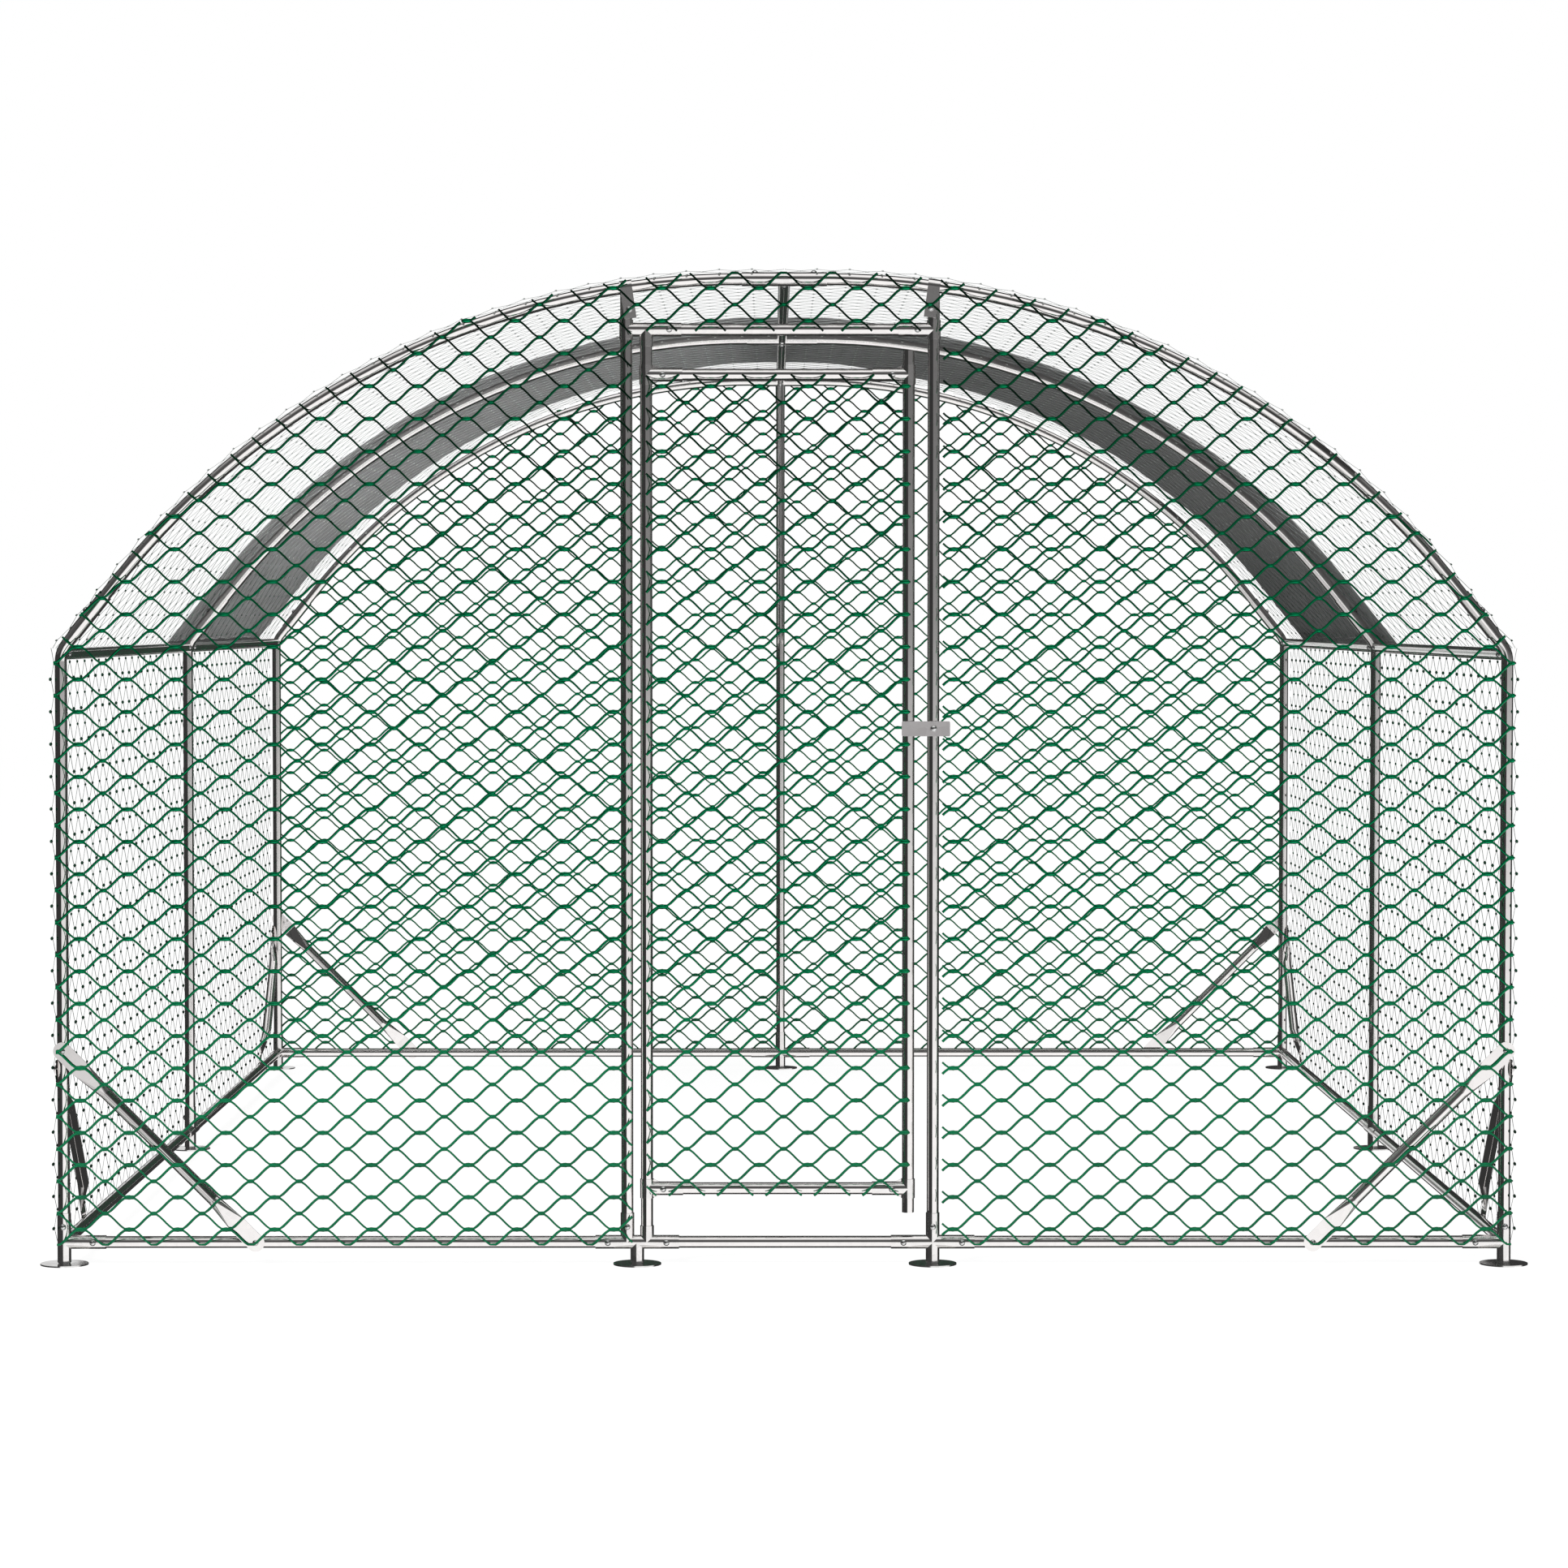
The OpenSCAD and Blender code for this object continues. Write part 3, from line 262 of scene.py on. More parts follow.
# Directions between which the studio's dark parts set in, and how dark they are
LEFT_WALL, LEFT_LEAN, LEFT_FADE, LEFT_FADED = (-0.06, -0.22), 0.35, (0.15, 0.4), 0.6
REAR_WALL, REAR_LEVEL, REAR_SHIFT = (-0.2, 0.08), (-0.1, 0.1), -0.3
WINDOW_DEPTH, WINDOW_EDGE, WINDOW_GLOW = (0.9, 0.95), (-0.075, -0.105), 0.75
FLAG_WIDTH, FLAG_EDGE, FLAG_SHIFT = (0.09, 0.05), (0.1, 0.2), 0.03
DARKEST = 0.035
EVEN_LEAN = 0.5  # How much more even light comes from the right than from the middle
FLOOR_TONE, FLOOR_GLOW, FLOOR_GLOW_SHARE = 0.9, 1.08, 0.85

# Lamps: name, place, aim, width, depth, spread in degrees, share of the key's power
LAMPS = (
    ("key", (-6.0, -7.0, 6.5), (0, -1, 0.8), 3.0, 3.0, 180, 1.0),
    ("fill", (5.0, -8.0, 3.0), (0, 0, 0.8), 5.0, 5.0, 180, 0.15),
    ("bounce", (3.7, 0.9, 0.05), (-0.9, 0.9, 1.55), 3.4, 0.3, 36, 0.044),
)


def settings():
    return bpy.context.scene.poultry_run


def smooth(value, start, stop):
    """Smooth step from 0 at start to 1 at stop"""
    share = max(0.0, min(1.0, (value - start) / (stop - start)))
    return share * share * (3 - 2 * share)


# Arch: half of its outline is a straight crown, an arc and a straight haunch


class Arch:
    """The bow's line across the run, by distance along it from the crown"""

    def __init__(self, run):
        self.half = run.width / 2
        self.flat = run.crown_flat
        self.angle = run.haunch_angle
        self.haunch = run.haunch_length
        arc_x = self.half - self.haunch * math.cos(self.angle)
        self.radius = (arc_x - self.flat) / math.sin(self.angle)
        self.centre = run.crown_height - self.radius
        self.arc_end = self.flat + self.radius * self.angle
        self.length = self.arc_end + self.haunch

    def place(self, along, out):
        """Points across and up, from signed distances along the bow and out from its axis"""
        along = np.asarray(along, float)
        side = np.where(along < 0, -1.0, 1.0)
        far = np.abs(along)
        turn = np.clip((far - self.flat) / self.radius, 0, self.angle)
        level = np.minimum(far, self.flat)
        slope = np.maximum(far - self.arc_end, 0)
        across = level + (self.radius + out) * np.sin(turn) + slope * np.cos(turn)
        up = self.centre + (self.radius + out) * np.cos(turn) - slope * np.sin(turn)
        return side * across, up

    def outline(self, out, low, left, right):
        """Convex outline of an end wall between two uprights, above a sill"""
        side = self.half + out
        end = self.length + (out - out * math.sin(self.angle)) / math.cos(self.angle)
        arc = np.linspace(-self.arc_end, self.arc_end, 2 * ARC_STEPS + 1)
        across, up = self.place(np.concatenate(([-end], arc, [end])), out)
        points = [(-side, low), *zip(across, up), (side, low)]
        return cut_outline(cut_outline(points, left, 1), right, -1)

    def reach(self, plane, out):
        """Distance along the bow at which a sheet on it meets a side wall's plane"""
        short = (self.half + out * math.sin(self.angle) - plane) / math.cos(self.angle)
        return self.length - short

    def meet(self, plane, out):
        """Height at which a sheet on the bow meets a side wall's plane"""
        return float(self.place(self.reach(plane, out), out)[1])


def cut_outline(points, edge, keep):
    """Cuts a convex outline at an upright and keeps one side of it"""
    kept = []
    for a, b in zip(points, points[1:] + points[:1]):
        da, db = keep * (a[0] - edge), keep * (b[0] - edge)
        if da >= 0:
            kept.append(a)
        if da * db < 0:
            t = da / (da - db)
            kept.append((edge, a[1] + t * (b[1] - a[1])))
    return kept


def rectangle(x0, y0, x1, y1):
    return [(x0, y0), (x1, y0), (x1, y1), (x0, y1)]


# Nodes


class Nodes:
    """A small helper that adds and links the nodes of one tree"""

    def __init__(self, tree):
        self.tree = tree
        self.tree.nodes.clear()

    def node(self, kind, inputs=None, **values):
        made = self.tree.nodes.new(kind)
        for key, value in values.items():
            setattr(made, key, value)
        for socket, value in (inputs or {}).items():
            self.feed(value, made.inputs[socket])
        return made

    def feed(self, value, socket):
        """Links an output to a socket, or sets the socket to a plain value"""
        if isinstance(value, bpy.types.NodeSocket):
            self.tree.links.new(value, socket)
        else:
            socket.default_value = value

    def calc(self, operation, *values, clamp=False):
        return self.node("ShaderNodeMath", dict(enumerate(values)),
                         operation=operation, use_clamp=clamp).outputs[0]

    def ramp(self, value, start, stop, low=0.0, high=1.0, kind="LINEAR"):
        """Carries a value from one range over to another"""
        return self.node("ShaderNodeMapRange", {
            "Value": value, "From Min": start, "From Max": stop, "To Min": low, "To Max": high,
        }, interpolation_type=kind).outputs["Result"]

    def step(self, value, start, stop):
        return self.ramp(value, start, stop, kind="SMOOTHSTEP")

    def mix(self, share, a, b, blend="MIX"):
        return self.node("ShaderNodeMix", {"Factor": share, "A": a, "B": b},
                         data_type="RGBA", blend_type=blend).outputs["Result"]

    def noise(self, at, scale, detail=2.0):
        return self.node("ShaderNodeTexNoise", {
            "Vector": at, "Scale": scale, "Detail": detail}).outputs["Fac"]

    def mix_shader(self, share, a, b):
        return self.node("ShaderNodeMixShader", {0: share, 1: a, 2: b}).outputs[0]

    def seen(self):
        """1 for rays that come from the camera, straight or through a clear surface"""
        path = self.node("ShaderNodeLightPath").outputs
        return self.calc("MAXIMUM", path["Is Camera Ray"], path["Is Transmission Ray"])


class Shader(Nodes):
    """The nodes of one material, around its surface"""

    def __init__(self, name):
        self.material = bpy.data.materials.new(name)
        self.material.use_nodes = True
        super().__init__(self.material.node_tree)
        self.surface = self.node("ShaderNodeBsdfPrincipled")
        self.output = self.node("ShaderNodeOutputMaterial",
                                {"Surface": self.surface.outputs["BSDF"]})

    def place(self):
        return self.node("ShaderNodeTexCoord").outputs["Object"]

    def dress(self, values):
        for name, value in values.items():
            self.feed(value, self.surface.inputs[name])

    def bump(self, height, strength, distance):
        bump = self.node("ShaderNodeBump", {
            "Height": height, "Strength": strength, "Distance": distance})
        self.dress({"Normal": bump.outputs["Normal"]})


def add_sockets(group, side, sockets):
    """Adds named inputs or outputs to a node group"""
    for name, kind in sockets:
        group.interface.new_socket(name=name, in_out=side, socket_type="NodeSocket" + kind)


# Netting: waves of wire that meet their neighbours in twisted knots


class Gauge(NamedTuple):
    """How one kind of netting is woven"""

    wire: float  # Diameter
    pitch: float  # Distance between knots along a row
    knots: float  # Share of the full knots' width
    steps: int  # Points on a half wave
    sides: int  # Sides of the wire
    flatten: float  # Share of its depth that the netting keeps
    finish: bpy.types.Material


def clip_segment(a, b, planes):
    """Part of a segment inside a convex outline, as a pair of shares, or None"""
    low, high = 0.0, 1.0
    for normal, reach in planes:
        da = normal[0] * a[0] + normal[1] * a[1] - reach
        db = normal[0] * b[0] + normal[1] * b[1] - reach
        if da > 0 and db > 0:
            return None
        if da > 0:
            low = max(low, da / (da - db))
        elif db > 0:
            high = min(high, da / (da - db))
    return (low, high) if high - low > 1e-6 else None


def outline_planes(points):
    """Outward normals and reaches of a convex outline's edges"""
    centre = np.mean(points, axis=0)
    planes = []
    for a, b in zip(points, points[1:] + points[:1]):
        along = np.subtract(b, a)
        if np.hypot(*along) < 1e-9:
            continue
        normal = np.array((along[1], -along[0])) / np.hypot(*along)
        reach = normal @ np.asarray(a)
        if normal @ centre > reach:
            normal, reach = -normal, -reach
        planes.append((normal, reach))
    return planes


def wave(net, gauge):
    """One half wave of wire, from a fat knot to a thin one, as shares of the rise"""
    start = net.fat_length * FAT_TUCK
    stop = gauge.pitch / 2 - net.thin_length * THIN_TUCK
    points = [(0.0, 0.0)]
    for i in range(gauge.steps):
        t = i / (gauge.steps - 1)
        points.append((start + t * (stop - start), t + STRAND_EASE * (smooth(t, 0, 1) - t)))
    return points


def lay_net(net, gauge, outline, column, row):
    """Vertices, edges and marks of the netting inside a convex outline"""
    planes = outline_planes(outline)
    low, high = np.min(outline, axis=0), np.max(outline, axis=0)
    rise = net.mesh_height / 2
    pitch = gauge.pitch
    part = wave(net, gauge)
    lift = net.wire * STRAND_LIFT
    verts, edges = [], []
    marks = {"knot": [], "girth": [], "painted_shade_share": []}

    def add(point, kind=0, climb=0.0):
        verts.append((point[0], point[1], 0.0))
        marks["knot"].append(kind)
        marks["girth"].append(1.0 + net.rising_share * climb)
        # Share of painted shade: most on falling strands, less on rising ones, none on knots
        marks["painted_shade_share"].append(0.0 if kind else SHADE_MEAN - SHADE_SWING * climb)
        return len(verts) - 1

    first = math.floor((low[1] - row) / rise) - 1
    last = math.ceil((high[1] - row) / rise) + 1
    start = math.floor((low[0] - column) / pitch) - 1
    stop = math.ceil((high[0] - column) / pitch) + 1
    for j in range(first, last):
        fat_v, thin_v = row + (j + j % 2) * rise, row + (j + 1 - j % 2) * rise
        up = 1 if thin_v > fat_v else -1
        base, height = fat_v + up * lift, thin_v - fat_v - 2 * up * lift
        path = []
        for i in range(start, stop):
            u = column + i * pitch
            ahead = [(u + x, base + s * height) for x, s in part]
            path += ahead + [(2 * u + pitch - x, v) for x, v in reversed(ahead)]
        tail = None
        for a, b in zip(path, path[1:]):
            if math.dist(a, b) < 1e-7:
                continue
            inside = clip_segment(a, b, planes)
            if inside is None:
                tail = None
                continue
            t0, t1 = inside
            climb = math.copysign(1.0, b[1] - a[1]) if abs(b[1] - a[1]) > 1e-7 else 0.0
            if tail is None or t0 > 0:
                tail = add((a[0] + t0 * (b[0] - a[0]), a[1] + t0 * (b[1] - a[1])), 0, climb)
            head = add((a[0] + t1 * (b[0] - a[0]), a[1] + t1 * (b[1] - a[1])), 0, climb)
            edges.append((tail, head))
            tail = head if t1 == 1.0 else None
    for j in range(first, last + 1):
        fat = j % 2 == 0
        for i in range(start, stop + 1):
            point = (column + i * pitch + (0 if fat else pitch / 2), row + j * rise)
            if all(n[0] * point[0] + n[1] * point[1] < r - KNOT_INSET for n, r in planes):
                add(point, 1 if fat else 2)
    return verts, edges, marks


def knot_shape():
    """Two wires twisted about each other, one unit long and wide, as a helper object"""
    shape = bmesh.new()
    loops = []
    for i in range(KNOT_RINGS):
        t = i / (KNOT_RINGS - 1)
        inner = 0 < i < KNOT_RINGS - 1
        swell = 0.5 + 0.5 * math.sqrt(math.sin(math.pi * t)) if inner else 0.45
        turn = math.pi * 0.5 * (t - 0.5)
        loop = []
        for k in range(KNOT_SIDES):
            a = 2 * math.pi * k / KNOT_SIDES
            wide, thin = 0.5 * swell * math.cos(a), 0.45 * swell * math.sin(a)
            loop.append(shape.verts.new((
                t - 0.5,
                wide * math.cos(turn) - thin * math.sin(turn),
                wide * math.sin(turn) + thin * math.cos(turn))))
        loops.append(loop)
    for a, b in zip(loops, loops[1:]):
        for k in range(KNOT_SIDES):
            n = (k + 1) % KNOT_SIDES
            shape.faces.new((a[k], a[n], b[n], b[k]))
    shape.faces.new(reversed(loops[0]))
    shape.faces.new(loops[-1])
    bmesh.ops.recalc_face_normals(shape, faces=shape.faces)
    mesh = bpy.data.meshes.new("net_knot")
    shape.to_mesh(mesh)
    shape.free()
    knot = bpy.data.objects.new("net_knot", mesh)
    bpy.context.scene.collection.objects.link(knot)
    return knot


def net_tree():
    """Geometry nodes that sweep wire along the waves and set a twist on every knot"""
    tree = bpy.data.node_groups.new("twisted wire netting", "GeometryNodeTree")
    add_sockets(tree, "INPUT", (
        ("Geometry", "Geometry"), ("Wire Diameter", "Float"), ("Wire Sides", "Int"),
        ("Knot", "Object"), ("Fat Knot", "Vector"), ("Thin Knot", "Vector"),
        ("Finish", "Material")))
    add_sockets(tree, "OUTPUT", (("Geometry", "Geometry"),))
    nodes = Nodes(tree)
    given = nodes.node("NodeGroupInput").outputs

    def mark(name, kind):
        return nodes.node("GeometryNodeInputNamedAttribute", {"Name": name},
                          data_type=kind).outputs["Attribute"]

    kind = mark("knot", "INT")

    def kind_is(value):
        return nodes.node("FunctionNodeCompare", {2: kind, 3: value},
                          data_type="INT", operation="EQUAL").outputs["Result"]

    wires = nodes.node("GeometryNodeSeparateGeometry", {
        "Geometry": given["Geometry"], "Selection": kind_is(0)}, domain="POINT")
    curves = nodes.node("GeometryNodeMeshToCurve", {"Mesh": wires.outputs["Selection"]})
    profile = nodes.node("GeometryNodeCurvePrimitiveCircle", {
        "Resolution": given["Wire Sides"],
        "Radius": nodes.calc("MULTIPLY", given["Wire Diameter"], 0.5)})
    swept = nodes.node("GeometryNodeCurveToMesh", {
        "Curve": curves.outputs["Curve"], "Profile Curve": profile.outputs["Curve"],
        "Scale": mark("girth", "FLOAT"), "Fill Caps": True})
    twist = nodes.node("GeometryNodeObjectInfo", {"Object": given["Knot"]})
    joined = nodes.node("GeometryNodeJoinGeometry", {"Geometry": swept.outputs["Mesh"]})
    for value, size in ((1, "Fat Knot"), (2, "Thin Knot")):
        placed = nodes.node("GeometryNodeInstanceOnPoints", {
            "Points": wires.outputs["Inverted"], "Selection": kind_is(value),
            "Instance": twist.outputs["Geometry"], "Scale": given[size]})
        nodes.feed(placed.outputs["Instances"], joined.inputs["Geometry"])
    real = nodes.node("GeometryNodeRealizeInstances", {"Geometry": joined.outputs["Geometry"]})
    shaded = nodes.node("GeometryNodeSetShadeSmooth", {"Geometry": real.outputs["Geometry"]})
    finish = nodes.node("GeometryNodeSetMaterial", {
        "Geometry": shaded.outputs["Geometry"], "Material": given["Finish"]})
    nodes.node("NodeGroupOutput", {"Geometry": finish.outputs["Geometry"]})
    return tree


def weave_net(name, gauge, outline, column, row, tree, knot):
    """Lays the waves, evaluates the netting's tree on them and returns a flat, plain mesh"""
    net = settings().net
    verts, edges, marks = lay_net(net, gauge, outline, column, row)
    mesh = bpy.data.meshes.new(name + "_waves")
    mesh.from_pydata(verts, edges, [])
    for mark, values in marks.items():
        kind = "INT" if mark == "knot" else "FLOAT"
        mesh.attributes.new(mark, kind, "POINT").data.foreach_set("value", values)
    carrier = bpy.data.objects.new(name + "_waves", mesh)
    bpy.context.scene.collection.objects.link(carrier)
    weaver = carrier.modifiers.new("netting", "NODES")
    weaver.node_group = tree
    fat, thin = net.fat_width * gauge.knots, net.thin_width * gauge.knots
    values = {
        "Wire Diameter": gauge.wire, "Wire Sides": gauge.sides, "Knot": knot,
        "Fat Knot": (net.fat_length, fat, fat), "Thin Knot": (net.thin_length, thin, thin),
        "Finish": gauge.finish,
    }
    for socket in tree.interface.items_tree:
        if socket.name in values:
            weaver[socket.identifier] = values[socket.name]
    bpy.context.view_layer.update()
    graph = bpy.context.evaluated_depsgraph_get()
    woven = bpy.data.meshes.new_from_object(carrier.evaluated_get(graph))
    woven.name = name
    carrier.modifiers.remove(weaver)
    bpy.data.objects.remove(carrier)
    return woven


def move_points(mesh, place):
    """Moves every vertex of a mesh by a function of its coordinates"""
    points = np.zeros(len(mesh.vertices) * 3)
    mesh.vertices.foreach_get("co", points)
    mesh.vertices.foreach_set("co", place(points.reshape(-1, 3)).reshape(-1))
    mesh.update()


def add_piece(name, mesh, body, replaced):
    """Links a finished mesh as a piece of the run"""
    piece = bpy.data.objects.new(name, mesh)
    bpy.context.scene.collection.objects.link(piece)
    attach(piece, body)
    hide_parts(*replaced)
    return piece


def middle(node, axis):
    low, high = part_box(node)
    return (low[axis] + high[axis]) / 2


# Finishes


def zinc_group():
    """Spangle and dull bloom of a zinc coating: its colour, its roughness and a height"""
    group = bpy.data.node_groups.new("zinc coating", "ShaderNodeTree")
    add_sockets(group, "INPUT", (
        ("Vector", "Vector"), ("Spangle Scale", "Float"), ("Bloom Scale", "Float"),
        ("Dark", "Float"), ("Bright Colour", "Color"), ("Low Roughness", "Float"),
        ("High Roughness", "Float")))
    add_sockets(group, "OUTPUT", (("Colour", "Color"), ("Roughness", "Float"), ("Height", "Float")))
    nodes = Nodes(group)
    given = nodes.node("NodeGroupInput").outputs
    spangle = nodes.node("ShaderNodeTexVoronoi", {
        "Vector": given["Vector"], "Scale": given["Spangle Scale"]})
    grey = nodes.node("ShaderNodeSeparateColor", {"Color": spangle.outputs["Color"]})
    bloom = nodes.noise(given["Vector"], given["Bloom Scale"], 4.0)
    blend = nodes.calc("MULTIPLY_ADD", grey.outputs["Red"], SPANGLE_SHARE,
                       nodes.calc("MULTIPLY", bloom, 1 - SPANGLE_SHARE))
    dim = nodes.ramp(blend, 0.2, 0.75, given["Dark"], 1.0)
    nodes.node("NodeGroupOutput", {
        "Colour": nodes.mix(1.0, given["Bright Colour"], dim, "MULTIPLY"),
        "Roughness": nodes.ramp(blend, 0.25, 0.75, given["High Roughness"], given["Low Roughness"]),
        "Height": bloom})
    return group


def zinc(group, name, colour, dark, low, high, spangle, relief):
    """A zinc-coated steel with its own brightness and dullness"""
    shader = Shader(name)
    coat = shader.node("ShaderNodeGroup", {
        "Vector": shader.place(), "Spangle Scale": spangle, "Bloom Scale": BLOOM_SCALE,
        "Dark": dark, "Bright Colour": (*colour, 1.0), "Low Roughness": low,
        "High Roughness": high}, node_tree=group).outputs
    shader.dress({
        "Base Color": coat["Colour"], "Roughness": coat["Roughness"], "Metallic": 1.0})
    shader.bump(coat["Height"], 0.02, relief)
    return shader.material


def coat_group():
    """Coat of the netting's wire: its colour by height with painted shade high up, its roughness,
    its wear and its grain
    """
    group = bpy.data.node_groups.new("wire coating", "ShaderNodeTree")
    add_sockets(group, "INPUT", (
        ("Vector", "Vector"), ("Low Coat", "Color"), ("High Coat", "Color"),
        ("Low Height", "Float"), ("High Height", "Float"), ("Painted Shade Share", "Float"),
        ("Painted Shade Coat", "Color")))
    add_sockets(group, "OUTPUT", (
        ("Colour", "Color"), ("Roughness", "Float"), ("Upper Share", "Float"), ("Grain", "Float")))
    nodes = Nodes(group)
    given = nodes.node("NodeGroupInput").outputs
    at = given["Vector"]
    stain = nodes.noise(at, 14.0, 3.0)
    height = nodes.node("ShaderNodeSeparateXYZ", {"Vector": at}).outputs["Z"]
    # Share of the upper coat, which rises with height
    upper_share = nodes.step(height, given["Low Height"], given["High Height"])
    share = nodes.calc("MULTIPLY_ADD", nodes.ramp(stain, 0.35, 0.6), 0.2,
                       nodes.ramp(upper_share, 0.0, 1.0, 0.0, 0.85), clamp=True)
    colour = nodes.mix(share, given["Low Coat"], given["High Coat"])
    # Painted shade: high up the coat turns to the shade colour, as far as each point's share goes
    painted_shade = nodes.calc("MULTIPLY", given["Painted Shade Share"], nodes.step(height, *SHADE_FROM), clamp=True)
    nodes.node("NodeGroupOutput", {
        "Colour": nodes.mix(painted_shade, colour, given["Painted Shade Coat"]),
        "Roughness": nodes.ramp(stain, 0.0, 1.0, 0.35, 0.2),
        "Upper Share": upper_share, "Grain": nodes.noise(at, 900.0)})
    return group


def coated_wire(group, name, low_coat, high_coat, heights, painted_shade=None):
    """Coated wire, which is glossy and, where a shade colour is given, gets painted shade high up,
    most on falling strands
    """
    shader = Shader(name)
    coat = shader.node("ShaderNodeGroup", {
        "Vector": shader.place(), "Low Coat": (*low_coat, 1.0), "High Coat": (*high_coat, 1.0),
        "Low Height": heights[0], "High Height": heights[1]}, node_tree=group)
    shader.dress({
        "Base Color": coat.outputs["Colour"], "Roughness": coat.outputs["Roughness"],
        "Specular IOR Level": 0.25})
    # Painted shade by each point's share, and more gloss higher up
    if painted_shade is not None:
        mark = shader.node("ShaderNodeAttribute", attribute_name="painted_shade_share").outputs["Fac"]
        shader.feed(mark, coat.inputs["Painted Shade Share"])
        shader.feed((*painted_shade, 1.0), coat.inputs["Painted Shade Coat"])
        shader.dress({"Metallic": shader.ramp(coat.outputs["Upper Share"], 0.0, 1.0, 0.2, 1.0)})
    shader.bump(coat.outputs["Grain"], 0.15, 0.0003)
    return shader.material


def coated_cloth(cover, length, girth):
    """Dark grey cloth: a plain weave, faint bands, scuffed folds and a stitched hem"""
    shader = Shader("dark coated cloth")
    calc = shader.calc
    at = shader.node("ShaderNodeUVMap", uv_map="cloth").outputs["UV"]

    def bands(direction, scale, distortion=0.0):
        return shader.node("ShaderNodeTexWave", {
            "Vector": at, "Scale": scale, "Distortion": distortion,
        }, wave_type="BANDS", bands_direction=direction).outputs["Fac"]

    weave = calc("MAXIMUM", bands("X", THREADS), bands("Y", THREADS))
    tone = calc("MULTIPLY_ADD", bands("X", CLOTH_BANDS, 0.6), 0.25, shader.noise(at, 3.0, 6.0))
    shade = calc("MULTIPLY", shader.ramp(tone, 0.3, 0.9, 0.82, 1.1),
                 shader.ramp(weave, 0.0, 1.0, 0.85))
    colour = shader.mix(1.0, (*cover.cloth, 1.0), shade, "MULTIPLY")
    parts = shader.node("ShaderNodeSeparateXYZ", {"Vector": at}).outputs
    along, across = parts["X"], parts["Y"]
    near = calc("MINIMUM", calc("MINIMUM", along, calc("SUBTRACT", length, along)),
                calc("MINIMUM", across, calc("SUBTRACT", girth, across)))
    hem = calc("LESS_THAN", near, cover.hem)
    from_seam = calc("ABSOLUTE", calc("SUBTRACT", near, cover.hem * SEAM_PLACE))
    beat = calc("SINE", calc("MULTIPLY", calc("ADD", along, across), 2 * math.pi / STITCH))
    stitch = calc("MULTIPLY", calc("LESS_THAN", from_seam, SEAM_HALF),
                  calc("GREATER_THAN", beat, -0.3))
    shader.dress({
        "Base Color": shader.mix(stitch, colour, (0.3, 0.3, 0.3, 1.0)),
        "Roughness": 0.75, "Specular IOR Level": 0.2})
    height = calc("ADD", calc("MULTIPLY", weave, 0.25), calc("ADD", hem, stitch))
    shader.bump(height, 0.3, 0.001)
    return shader.material


# Operators


class RUN_OT_finish_steel(bpy.types.Operator):
    """Gives the tubes, fittings, screws, latch and feet their zinc finishes"""

    bl_idname = "poultry_run.finish_steel"
    bl_label = "Finish Steel"

    def execute(self, context):
        group = zinc_group()
        finishes = {slot: zinc(group, *values) for slot, values in ZINC.items()}
        for name, node in frame["nodes"].items():
            finish = finishes.get(SLOTS[name])
            if finish is not None:
                node.data.materials.clear()
                node.data.materials.append(finish)
        return {"FINISHED"}


